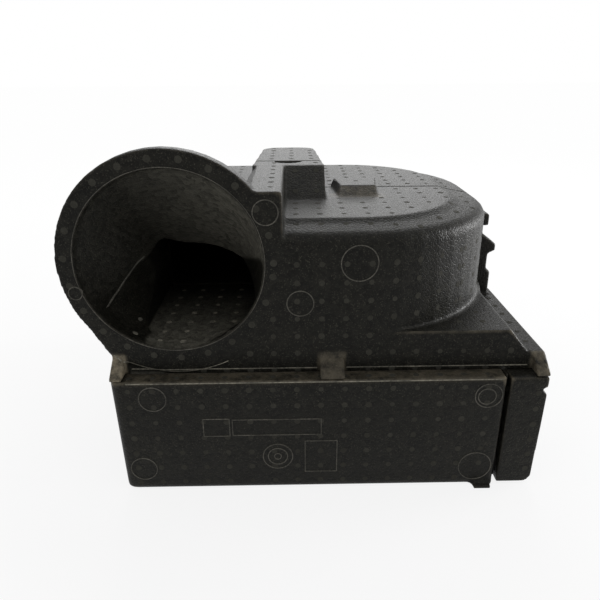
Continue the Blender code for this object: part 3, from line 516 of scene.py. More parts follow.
def merged_copy(node: Thing, name: str, flat: float = 0.0) -> Thing:
    """Copy a CAD node's loose triangles into a piece with one joined mesh.

    Args:
        node: The CAD node.
        name: Name of the piece.
        flat: Angle in degrees below which faces are joined into one, or 0.

    Returns:
        The piece.
    """
    shape = bmesh.new()
    shape.from_mesh(node.data)
    bmesh.ops.remove_doubles(shape, verts=shape.verts, dist=WELD)
    if flat:
        bmesh.ops.dissolve_limit(shape, angle_limit=math.radians(flat), verts=shape.verts,
                                 edges=shape.edges)
    return shaped(name, shape)


@dataclass
class Net:
    """A mesh's points and edges as arrays, for smoothing and for finding its edges."""

    mesh: Mesh

    def __post_init__(self) -> None:
        """Read the points and edges."""
        count = len(self.mesh.vertices)
        self.points = np.empty(count * 3)
        self.mesh.vertices.foreach_get("co", self.points)
        self.points = self.points.reshape(-1, 3)
        ends = np.empty(len(self.mesh.edges) * 2, dtype=np.int32)
        self.mesh.edges.foreach_get("vertices", ends)
        self.ends = ends.reshape(-1, 2).T
        self.degree = np.maximum(np.bincount(ends, minlength=count), 1)

    def average(self, values: np.ndarray) -> np.ndarray:
        """Average a value over each point's neighbours.

        Args:
            values: One value for each point.

        Returns:
            The averages.
        """
        first, second = self.ends
        count = len(self.degree)
        total = np.bincount(first, values[second], count) + np.bincount(second, values[first], count)
        return total / self.degree

    def middles(self) -> np.ndarray:
        """Give the middle of each point's neighbours."""
        return np.stack([self.average(self.points[:, axis]) for axis in range(3)], axis=1)

    def relax(self, rounds: int, share: float = 0.5) -> None:
        """Smooth the points a few times and write them back.

        Args:
            rounds: How often.
            share: How far a point moves to its neighbours' middle.
        """
        for _ in range(rounds):
            self.points += share * (self.middles() - self.points)
        self.mesh.vertices.foreach_set("co", self.points.ravel())
        self.mesh.update()

    def normals(self) -> np.ndarray:
        """Read each point's normal.

        Returns:
            One normal for each point.
        """
        normals = np.empty(len(self.degree) * 3)
        self.mesh.vertices.foreach_get("normal", normals)
        return normals.reshape(-1, 3)

    def note_edges(self, step: float, rounds: int = 2) -> None:
        """Store how sharply the surface bends outwards at each point.

        Args:
            step: Spacing of the points in metres.
            rounds: How often the value is spread to its neighbours.
        """
        bend = ((self.points - self.middles()) * self.normals()).sum(axis=1) / step
        self.note("edge_bend", bend, rounds)

    def spread(self, values: np.ndarray, rounds: int) -> np.ndarray:
        """Spread values to the points' neighbours.

        Args:
            values: One value for each point.
            rounds: How often.

        Returns:
            The spread values.
        """
        for _ in range(rounds):
            values = 0.5 * (values + self.average(values))
        return values

    def note(self, name: str, values: np.ndarray, rounds: int) -> None:
        """Spread one value at each point and store it."""
        layer = self.mesh.attributes.new(name, "FLOAT", "POINT")
        layer.data.foreach_set("value", self.spread(values, rounds).astype(np.float32))

    def enclosed(self, reach: float, rounds: int = 4) -> np.ndarray:
        """Tell which points look at another part of the same moulding.

        Args:
            reach: How far they look, in metres.
            rounds: How often the value is spread to its neighbours.

        Returns:
            One value from 0 to 1 for each point.
        """
        shape = bmesh.new()
        shape.from_mesh(self.mesh)
        tree = BVHTree.FromBMesh(shape)
        shape.free()
        looks = np.array([tree.ray_cast(v.co + v.normal * MM, v.normal, reach)[0] is not None
                          for v in self.mesh.vertices], dtype=float)
        return self.spread(looks, rounds)

    def in_zones(self, zones: Sequence[Zone], rest: float = 0.0) -> np.ndarray:
        """Give each point the level of the zone that it lies in.

        Args:
            zones: The zones.
            rest: The level outside of them.

        Returns:
            One level for each point.
        """
        value = np.full(len(self.degree), rest)
        for zone in zones:
            value[zone.holds(self.points)] = zone.level
        return value


def foam_shell(node: Thing, name: str, voxel: float, rounds: int) -> Thing:
    """Make a foam moulding with softly rounded edges from a CAD node.

    Args:
        node: The CAD node.
        name: Name of the piece.
        voxel: Spacing of its points in millimetres.
        rounds: Smoothing rounds; more give rounder edges.

    Returns:
        The piece.
    """
    piece = merged_copy(node, name)
    grid = piece.modifiers.new("even", "REMESH")
    grid.mode = "VOXEL"
    grid.voxel_size = voxel * MM
    grid.use_smooth_shade = True
    bake(piece)
    net = Net(piece.data)
    net.relax(rounds)
    net.note_edges(voxel * MM)
    return piece


def slim(piece: Thing, limit: int) -> None:
    """Thin out a piece that has too many triangles.

    Args:
        piece: The piece.
        limit: The most triangles that it may have.
    """
    count = sum(len(p.vertices) - 2 for p in piece.data.polygons)
    if count <= limit:
        return
    thin = piece.modifiers.new("slim", "DECIMATE")
    thin.ratio = limit / count
    bake(piece)
    piece.data.shade_smooth()


def moulding(node: Thing, name: str, radius: float) -> Thing:
    """Make a hard moulded piece with small rounded edges from a CAD node.

    Args:
        node: The CAD node.
        name: Name of the piece.
        radius: Radius of its edges in millimetres.

    Returns:
        The piece.
    """
    piece = merged_copy(node, name, flat=1.0)
    bevel = piece.modifiers.new("edges", "BEVEL")
    bevel.width = radius * MM
    bevel.segments = 2
    bevel.limit_method = "ANGLE"
    bevel.angle_limit = BEVEL_ANGLE
    bake(piece)
    piece.data.shade_smooth()
    piece.data.set_sharp_from_angle(angle=SHARP_ANGLE)
    return piece


def joined(name: str, meshes: Sequence[Mesh]) -> Thing:
    """Join meshes into one piece.

    Args:
        name: Name of the piece.
        meshes: The meshes.

    Returns:
        The piece.
    """
    shape = bmesh.new()
    for mesh in meshes:
        shape.from_mesh(mesh)
    return shaped(name, shape)


# Trees that make what repeats


def new_tree(name: str, **inputs: str) -> tuple[Tree, bpy.types.bpy_prop_collection]:
    """Start a Geometry Nodes tree.

    Args:
        name: Name of the tree.
        inputs: Names of its inputs, in one text for each kind.

    Returns:
        The tree and the sockets that its inputs come from.
    """
    tree = bpy.data.node_groups.new(name, "GeometryNodeTree")
    tree.interface.new_socket("Geometry", in_out="OUTPUT", socket_type="NodeSocketGeometry")
    for kind, labels in inputs.items():
        for label in labels.split():
            tree.interface.new_socket(label, in_out="INPUT", socket_type="NodeSocket" + kind)
    return tree, add_node(tree, "NodeGroupInput").outputs


def end_tree(tree: Tree, result: Socket, finish: Socket) -> None:
    """Close a tree: make its instances real, give them their material and put them out.

    Args:
        tree: The tree.
        result: What it has made.
        finish: The input that holds the material.
    """
    real = made(tree, "GeometryNodeRealizeInstances", {"Geometry": result})
    dressed = made(tree, "GeometryNodeSetMaterial", {"Geometry": real, "Material": finish})
    add_node(tree, "NodeGroupOutput", {0: dressed})


def grown(tree: Tree, values: dict[str, Any]) -> Mesh:
    """Run a tree on its own and give the plain mesh.

    Args:
        tree: The tree.
        values: Values of its inputs by name.

    Returns:
        The mesh.
    """
    carrier = link(tree.name, bpy.data.meshes.new(tree.name))
    modifier = carrier.modifiers.new("grow", "NODES")
    modifier.node_group = tree
    for item in tree.interface.items_tree:
        if item.in_out == "INPUT" and item.name in values:
            modifier[item.identifier] = values[item.name]
    mesh = applied(carrier)
    bpy.data.objects.remove(carrier)
    return mesh


@dataclass
class VentDots:
    """The core-vent dots that the mould leaves all over a foam piece, in millimetres."""

    finish: Material
    pitch_across: float = 20.2
    pitch_up: float = 15.8
    radius: float = 2.9
    even: float = 3.6
    rise: float = 0.5
    sink: float = 0.4
    facing: float = 0.74
    margin: float = 8.0
    away: float = 60.0
    clear: float = 94.0
    alike: float = 0.97
    corners: int = 14
    taper: float = 0.84
    sizes: Pair = (0.86, 1.1)

    def __post_init__(self) -> None:
        """Build the tree that throws a grid of dots onto a moulding where it is even and faces the grid."""
        self.tree, given = new_tree(
            "vent_dots", Object="Target", Int="Columns Rows Seed", Vector="Centre Aim Avoid",
            Rotation="Turn", Float="Width Height Reach Facing Radius Even Rise Sink Clear",
            Material="Finish")
        tree = self.tree
        grid = made(tree, "GeometryNodeMeshGrid", {
            "Size X": given["Width"], "Size Y": given["Height"], "Vertices X": given["Columns"],
            "Vertices Y": given["Rows"]})
        placed = made(tree, "GeometryNodeTransform", {
            "Geometry": grid, "Translation": given["Centre"], "Rotation": given["Turn"]})
        points = made(tree, "GeometryNodeMeshToPoints", {"Mesh": placed})
        target = add_node(tree, "GeometryNodeObjectInfo", {"Object": given["Target"]})
        rays = {"Target Geometry": target.outputs["Geometry"], "Ray Direction": given["Aim"],
                "Ray Length": given["Reach"]}
        ray = add_node(tree, "GeometryNodeRaycast", rays)
        normal, hit = ray.outputs["Hit Normal"], ray.outputs["Hit Position"]
        marked = made(tree, "GeometryNodeStoreNamedAttribute", {
            "Geometry": points, "Name": "facing", "Value": normal}, data_type="FLOAT_VECTOR")
        turned = calc(tree, "MULTIPLY", measure(tree, "DOT_PRODUCT", normal, given["Aim"]), -1.0)
        tests = [calc(tree, "GREATER_THAN", turned, given["Facing"]),
                 calc(tree, "GREATER_THAN", measure(tree, "DISTANCE", hit, given["Avoid"]), given["Clear"])]
        here = made(tree, "GeometryNodeInputPosition")
        for side in ((1, 0, 0), (-1, 0, 0), (0, 1, 0), (0, -1, 0)):
            spin = made(tree, "FunctionNodeRotateVector", {
                "Vector": scaled(tree, side, given["Even"]), "Rotation": given["Turn"]})
            start = made(tree, "ShaderNodeVectorMath", {0: here, 1: spin})
            near = add_node(tree, "GeometryNodeRaycast", {**rays, "Source Position": start})
            alike = measure(tree, "DOT_PRODUCT", normal, near.outputs["Hit Normal"])
            tests.append(calc(tree, "GREATER_THAN", alike, self.alike))
        good = ray.outputs["Is Hit"]
        for test in tests:
            good = made(tree, "FunctionNodeBooleanMath", {0: good, 1: test})
        kept = made(tree, "GeometryNodeSeparateGeometry", {"Geometry": marked, "Selection": good})
        sunk = scaled(tree, normal, calc(tree, "MULTIPLY", given["Sink"], -1.0))
        moved = made(tree, "GeometryNodeSetPosition", {"Geometry": kept, "Position": hit, "Offset": sunk})
        disc = add_node(tree, "GeometryNodeMeshCone", {
            "Vertices": self.corners, "Radius Top": calc(tree, "MULTIPLY", given["Radius"], self.taper),
            "Radius Bottom": given["Radius"], "Depth": given["Rise"]})
        facing = made(tree, "GeometryNodeInputNamedAttribute", {"Name": "facing"}, data_type="FLOAT_VECTOR")
        upright = made(tree, "FunctionNodeAlignRotationToVector", {"Vector": facing}, axis="Z")
        size = add_node(tree, "FunctionNodeRandomValue", {
            2: self.sizes[0], 3: self.sizes[1], "Seed": given["Seed"]}, data_type="FLOAT")
        dots = made(tree, "GeometryNodeInstanceOnPoints", {
            "Points": moved, "Instance": disc.outputs["Mesh"], "Rotation": upright,
            "Scale": size.outputs[1]})
        end_tree(tree, dots, given["Finish"])

    def throw(self, target: Thing, side: Side, low: Vector, high: Vector, seed: int,
              away: Optional[float] = None, avoid: Optional[Vector] = None) -> Mesh:
        """Throw one field of dots from a side.

        Args:
            target: The moulding.
            side: The side that it is thrown from.
            low: Lowest corner of the field, in metres.
            high: Highest corner of the field, in metres.
            seed: Seed of the dots' sizes.
            away: Distance of the grid from the field's middle, or nothing for outside of the box.
            avoid: Middle of a ball that stays free of dots, in metres, or nothing.

        Returns:
            The dots.
        """
        aim, turn = Vector(side.value[0]), side.value[1]
        size = high - low
        centre = (low + high) / 2
        depth = abs(aim.dot(size)) / 2 + self.away * MM
        across, up = {0: (1, 2), 1: (0, 2), 2: (0, 1)}[max(range(3), key=lambda n: abs(aim[n]))]
        rise = self.pitch_up if up == 2 else self.pitch_across
        columns = max(2, int((size[across] - 2 * self.margin * MM) / (self.pitch_across * MM)) + 1)
        rows = max(2, int((size[up] - 2 * self.margin * MM) / (rise * MM)) + 1)
        stand = depth if away is None else away
        values = {"Target": target, "Columns": columns, "Rows": rows,
                  "Width": (columns - 1) * self.pitch_across * MM, "Height": (rows - 1) * rise * MM,
                  "Centre": centre - aim * stand, "Turn": Euler([math.radians(a) for a in turn]),
                  "Aim": aim, "Reach": depth * 2, "Facing": self.facing, "Radius": self.radius * MM,
                  "Even": self.even * MM, "Rise": self.rise * MM, "Sink": self.sink * MM, "Seed": seed,
                  "Avoid": avoid or Vector(), "Clear": self.clear * MM if avoid else 0.0,
                  "Finish": self.finish}
        return grown(self.tree, values)

    def all_round(self, target: Thing, avoid: Optional[Vector] = None) -> list[Mesh]:
        """Throw a field of dots from each of the six sides of a moulding.

        Args:
            target: The moulding.
            avoid: Middle of a ball that stays free of dots, or nothing.

        Returns:
            The fields.
        """
        corners = np.array([v.co for v in target.data.vertices])
        low, high = Vector(corners.min(axis=0)), Vector(corners.max(axis=0))
        return [self.throw(target, side, low, high, seed, avoid=avoid) for seed, side in enumerate(Side)]


# Marks of the mould


def around(x: float, z: float, radius: float, turns: Sequence[float]) -> list[Four]:
    """Give the points (x, z) at some angles in degrees around a middle, with their outward directions."""
    ways = [(math.cos(math.radians(t)), math.sin(math.radians(t))) for t in turns]
    return [(x + radius * way_x, z + radius * way_z, way_x, way_z) for way_x, way_z in ways]


@dataclass
class Marks:
    """Raised lines and discs that follow a moulding's surface, in millimetres."""

    target: Thing
    proud: float = 0.45
    sink: float = 0.6
    stand: float = -80.0
    step: float = 4.0
    crest: float = 0.22
    crown: float = 0.9

    def __post_init__(self) -> None:
        """Read the moulding and start an empty shape."""
        self.tree = BVHTree.FromObject(self.target, bpy.context.evaluated_depsgraph_get())
        self.shape = bmesh.new()

    def point(self, x: float, z: float, lift: float) -> Vector:
        """Give the place over a point of the moulding's front.

        Args:
            x: Millimetres from the box's left.
            z: Millimetres from its underside.
            lift: Millimetres out of the surface.

        Returns:
            The place in metres.
        """
        start = spot(x, self.stand, z)
        place, normal, _, _ = self.tree.ray_cast(start, Vector((0, 1, 0)))
        return place + normal * lift * MM

    def line(self, path: Sequence[Four], width: float, closed: bool = True) -> None:
        """Add one raised line.

        Args:
            path: Points (x, z) with their outward directions (across x, across z).
            width: Width of the line's foot in millimetres.
            closed: Whether the line meets its start.
        """
        section = ((-0.5, -self.sink), (-self.crest, self.proud), (self.crest, self.proud),
                   (0.5, -self.sink))
        rows = [[self.shape.verts.new(self.point(x + out_x * width * side, z + out_z * width * side, lift))
                 for side, lift in section] for x, z, out_x, out_z in path]
        pairs = list(zip(rows, rows[1:]))
        if closed:
            pairs.append((rows[-1], rows[0]))
        else:
            self.shape.faces.new(rows[0])
            self.shape.faces.new(rows[-1][::-1])
        for here, there in pairs:
            for n in range(4):
                self.shape.faces.new((here[n], there[n], there[n - 3], here[n - 3]))

    def arc(self, x: float, z: float, radius: float, width: float = 1.3, steps: int = 48,
            start: float = 0.0, end: float = 360.0) -> None:
        """Add one raised arc or ring.

        Args:
            x: Its middle in millimetres from the box's left.
            z: The same from its underside.
            radius: Radius in millimetres.
            width: Width of the line's foot in millimetres.
            steps: Number of its pieces.
            start: First angle in degrees.
            end: Last angle in degrees; a whole turn makes a ring.
        """
        ring = end - start == 360.0
        turns = [start + (end - start) * n / steps for n in range(steps + (not ring))]
        self.line(around(x, z, radius, turns), width, closed=ring)

    def trail(self, points: Sequence[Pair], width: float) -> None:
        """Add one raised line along straight runs.

        Args:
            points: Points (x, z) in millimetres.
            width: Width of the line's foot in millimetres.
        """
        path = []
        for start, end in zip(points, points[1:]):
            first, last = Vector(start), Vector(end)
            out = (last - first).orthogonal().normalized()
            count = max(1, int((last - first).length / self.step))
            path += [(*first.lerp(last, n / count), *out) for n in range(count + (end == points[-1]))]
        self.line(path, width, closed=False)

    def dot(self, x: float, z: float, radius: float, lift: float = 0.1, steps: int = 14) -> None:
        """Add one low disc.

        Args:
            x: Its middle in millimetres from the box's left.
            z: The same from its underside.
            radius: Radius in millimetres.
            lift: Millimetres out of the surface.
            steps: Number of its corners.
        """
        turns = [360.0 * n / steps for n in range(steps)]
        rows = [[self.shape.verts.new(self.point(*place[:2], height))
                 for place in around(x, z, radius * share, turns)]
                for share, height in ((1.0, -self.sink), (self.crown, lift))]
        for n in range(steps):
            self.shape.faces.new((rows[0][n - 1], rows[0][n], rows[1][n], rows[1][n - 1]))
        self.shape.faces.new(rows[1])
        self.shape.faces.new(rows[0][::-1])

    def frame(self, left: float, right: float, low: float, high: float, width: float = 1.2) -> None:
        """Add one raised rectangular frame."""
        corners = ((left, low, -1, -1), (right, low, 1, -1), (right, high, 1, 1), (left, high, -1, 1))
        self.line(corners, width)

    def finish(self, name: str) -> Thing:
        """Close the shape and give the piece."""
        bmesh.ops.recalc_face_normals(self.shape, faces=self.shape.faces)
        return shaped(name, self.shape)


# Sub-assemblies


@dataclass
class SubAssembly:
    """What every sub-assembly needs: the frame, the finishes, the vent dots and sizes in millimetres."""

    frame: dict
    finishes: dict[Coat, Material]
    vents: VentDots
    look: float = 260.0
    rest_wear: float = 0.12
    foam_rounds: int = 2
    wear_rounds: int = 2
    funnel_rounds: int = 3
    seal_voxel: float = 1.4
    seal_rounds: int = 3
    seal_fill: float = 0.9
    edge: float = 0.4
    rub_proud: float = 0.2
    most_triangles: int = 190000
    body: Body = Body.BASE

    def settle(self, piece: Thing, coat: Coat, *nodes: str) -> None:
        """Give a piece its material, body and the nodes that it stands for, and report it.

        Args:
            piece: The piece.
            coat: Its finish, which also tells the record's slot.
            nodes: Names of the CAD nodes that it replaces.
        """
        piece.data.materials.clear()
        piece.data.materials.append(self.finishes[coat])
        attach(piece, self.body.value)
        if nodes:
            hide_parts(*nodes)
        faces = sum(len(p.vertices) - 2 for p in piece.data.polygons)
        LOG.info("%s rides on %s with %d triangles", piece.name, self.body.value, faces)

    def foam(self, node: str, voxel: float, worn: Sequence[Zone] = (), rubbed: Sequence[Zone] = (),
             funnel: Optional[PaintedFunnelLight] = None) -> Thing:
        """Replace a CAD node by a foam moulding.

        Args:
            node: Name of the CAD node.
            voxel: Spacing of its points in millimetres.
            worn: Zones whose edges are painted pale, by wear and, along the dome's front edge, as a painted
                highlight.
            rubbed: Zones whose whole surface is painted pale, by rubbing and, on the tray's ledge, as
                painted light.
            funnel: The painted light inside the collar, if the moulding has one.

        Returns:
            The piece.
        """
        shell = foam_shell(self.frame["nodes"][node], node + "_foam", voxel, self.foam_rounds)
        net = Net(shell.data)
        looks = net.enclosed(self.look * MM)
        net.note("worn", net.in_zones(worn, self.rest_wear) * (1.0 - looks), self.wear_rounds)
        net.note("rubbed", net.in_zones(rubbed), self.wear_rounds)
        if funnel is not None:
            net.note("funnel", funnel.share(net.points, net.normals()), self.funnel_rounds)
        slim(shell, self.most_triangles)
        self.settle(shell, Coat.FOAM, node)
        return shell

    def dots(self, shell: Thing, avoid: Optional[Vector] = None) -> None:
        """Cover a foam moulding with vent dots.

        Args:
            shell: The moulding.
            avoid: Middle of a ball that stays free of dots, or nothing.
        """
        fields = [m for m in self.vents.all_round(shell, avoid) if m.polygons]
        piece = joined(shell.name.replace("_foam", "_vent_dots"), fields)
        self.settle(piece, Coat.VENT)

    def strip(self, node: str) -> None:
        """Replace a plain seal by a soft foam strip with rounded edges.

        Args:
            node: Name of the CAD node.
        """
        solid = self.frame["nodes"][node]
        piece = foam_shell(solid, node + "_strip", self.seal_voxel, self.seal_rounds)
        self.settle(piece, Coat.SEAL, node)

    def plastic(self, node: str, coat: Coat, radius: float) -> None:
        """Replace a CAD node by a plastic moulding with rounded edges."""
        self.settle(moulding(self.frame["nodes"][node], node + "_moulding", radius), coat, node)


@dataclass
class Tray(SubAssembly):
    """The foam tray with its seal, wear strips, inlet grille and pins."""

    voxel: float = 1.8
    worn: tuple[Zone, ...] = (Zone((0, 340), (-2, 9), (104, 114)),)
    # The ledge's top is painted paler: painted light where it faces up.
    rubbed: tuple[Zone, ...] = (Zone((12, 340), (-2, 19), (110.5, 114), 0.25),)
    # Ejector marks: place of the middle across and up, and the radius.
    rings: tuple[Triple, ...] = (
        (34.7, 95.6, 11.5), (318.8, 94.7, 11.5), (317.5, 94.0, 7.5), (314.9, 21.0, 14.5),
        (19.9, 23.4, 11.5))
    # The fill mark: its middle, and the radius and line width of its circles.
    fill_mark: Pair = (139.0, 35.0)
    fill_rings: tuple[Pair, ...] = ((13.0, 1.3), (8.5, 1.3), (3.0, 1.0))
    # Label fields: left, right, low and high.
    fields: tuple[Four, ...] = (
        (75.5, 98.0, 57.5, 75.0), (100.6, 177.0, 58.0, 74.0), (163.0, 191.0, 18.0, 51.0))
    rub_line: tuple[Pair, Pair] = ((14.0, 110.4), (331.0, 110.4))
    rub_width: float = 1.6
    pin_edge: float = 0.3

    def build(self) -> None:
        """Build and dress the tray."""
        shell = self.foam("lower_tray", self.voxel, self.worn, self.rubbed)
        self.dots(shell)
        self.marks(shell)
        self.strip("tray_seal")
        for name in ("guide_strip_front", "guide_strip_rear"):
            self.plastic(name, Coat.GREY, self.edge)
        self.plastic("inlet_grille", Coat.BLACK, self.edge)
        for name in ("lower_left", "upper_left", "lower_right", "upper_right"):
            self.plastic("grille_pin_" + name, Coat.BLACK, self.pin_edge)

    def marks(self, shell: Thing) -> None:
        """Add the ejector rings, the fill mark and the bare label fields on the tray's front.

        Args:
            shell: The dressed tray.
        """
        marks = Marks(shell)
        for ring in self.rings:
            marks.arc(*ring)
        for ring in self.fill_rings:
            marks.arc(*self.fill_mark, *ring)
        for place in self.fields:
            marks.frame(*place)
        self.settle(marks.finish("lower_tray_mould_marks"), Coat.MARK)
        edge = Marks(shell, proud=self.rub_proud)
        edge.trail(self.rub_line, self.rub_width)
        self.settle(edge.finish("lower_tray_rubbed_edge"), Coat.RUB)


@dataclass
class FrontHood(SubAssembly):
    """The front half of the hood with its collar and horn."""

    body: Body = Body.FRONT
    voxel: float = 1.5
    face: float = 17.5
    rim: float = 76.2
    rim_width: float = 0.8
    rim_steps: int = 96
    foot: float = 96.6
    foot_width: float = 1.3
    foot_steps: int = 40
    foot_turns: Pair = (236.0, 296.0)
    wall_foot: float = 114.4
    wall_width: float = 1.7
    wall_runs: tuple[Pair, ...] = ((15.0, 174.0), (199.0, 355.0))
    dot_row: float = 83.0
    dot_turn: int = 16
    dot_radius: float = 3.2
    horn: tuple[Triple, Triple] = ((10, 22, 120), (108, 160, 190))
    horn_seed: int = 7
    # Edges of the deck, the right ridge, the dome and the collar; the pale band along the dome's front edge
    # is a painted highlight.
    worn: tuple[Zone, ...] = (
        Zone((60, 345), (15, 27), (140, 151)), Zone((328, 346), (15, 172), (138, 152), 0.8),
        Zone((100, 345), (15, 60), (205, 245), 0.35), Zone((-40, 150), (15, 22), (100, 302), 0.3))
    # Faces of the left post, the middle rib, the right post and the tongue.
    rubbed: tuple[Zone, ...] = (
        Zone((-1, 12), (-1, 19), (111, 129), 0.85), Zone((174.5, 198.5), (-1, 19), (111, 129), 0.28),
        Zone((357, 370), (-1, 19), (111, 128), 0.4), Zone((190, 242), (120, 139), (238.5, 247), 0.2))
    # Ejector marks: place of the middle across and up, and the radius.
    rings: tuple[Triple, ...] = (
        (133.5, 250.0, 10.0), (208.0, 208.0, 15.0), (160.0, 174.0, 11.0), (-21.5, 185.5, 5.5))
    # The crease across the collar's left, drawn as a pale line that is a painted highlight on the fold:
    # places across and up.
    crease_highlight: tuple[Pair, ...] = (
        (-3.9, 165.6), (-3.1, 167.0), (1.1, 173.2), (5.9, 180.4), (11.5, 187.5), (16.8, 194.2),
        (22.0, 198.0))
    crease_highlight_width: float = 1.6

    def build(self) -> None:
        """Build and dress the front half."""
        shell = self.foam("front_hood", self.voxel, self.worn, self.rubbed, PaintedFunnelLight())
        self.dots(shell, spot(COLLAR[0], self.face, COLLAR[1]))
        self.horn_dots(shell)
        marks = Marks(shell)
        for ring in self.rings:
            marks.arc(*ring)
        marks.arc(*COLLAR, self.rim, self.rim_width, self.rim_steps)
        marks.trail(self.crease_highlight, self.crease_highlight_width)
        self.settle(marks.finish("front_hood_mould_marks"), Coat.MARK)
        self.rubs(shell)
        self.ring_dots(shell)

    def rubs(self, shell: Thing) -> None:
        """Add the pale lines where the collar's foot and the wall's foot are rubbed.

        Args:
            shell: The dressed hood.
        """
        marks = Marks(shell, proud=self.rub_proud)
        marks.arc(*COLLAR, self.foot, self.foot_width, self.foot_steps, *self.foot_turns)
        for left, right in self.wall_runs:
            marks.trail(((left, self.wall_foot), (right, self.wall_foot)), self.wall_width)
        self.settle(marks.finish("front_hood_rubbed_lines"), Coat.RUB)

    def ring_dots(self, shell: Thing) -> None:
        """Add the row of vent dots around the collar's flat ring.

        Args:
            shell: The dressed hood.
        """
        marks = Marks(shell)
        for x, z, _, _ in around(*COLLAR, self.dot_row, range(0, 360, self.dot_turn)):
            marks.dot(x, z, self.dot_radius)
        self.settle(marks.finish("collar_vent_dots"), Coat.VENT)

    def horn_dots(self, shell: Thing) -> None:
        """Throw vent dots on the horn's floor, from inside of it.

        Args:
            shell: The dressed hood.
        """
        low, high = (spot(*corner) for corner in self.horn)
        dots = self.vents.throw(shell, Side.TOP, low, high, self.horn_seed, away=0.0)
        # The dots take the paler rubbed finish as painted light on the lit floor of the horn.
        self.settle(joined("horn_vent_dots", [dots]), Coat.RUB)


@dataclass
class RearHood(SubAssembly):
    """The rear half of the hood and the seal in the seam."""

    body: Body = Body.REAR
    voxel: float = 1.7

    def build(self) -> None:
        """Build and dress the rear half."""
        self.dots(self.foam("rear_hood", self.voxel))
        self.strip("seam_seal")


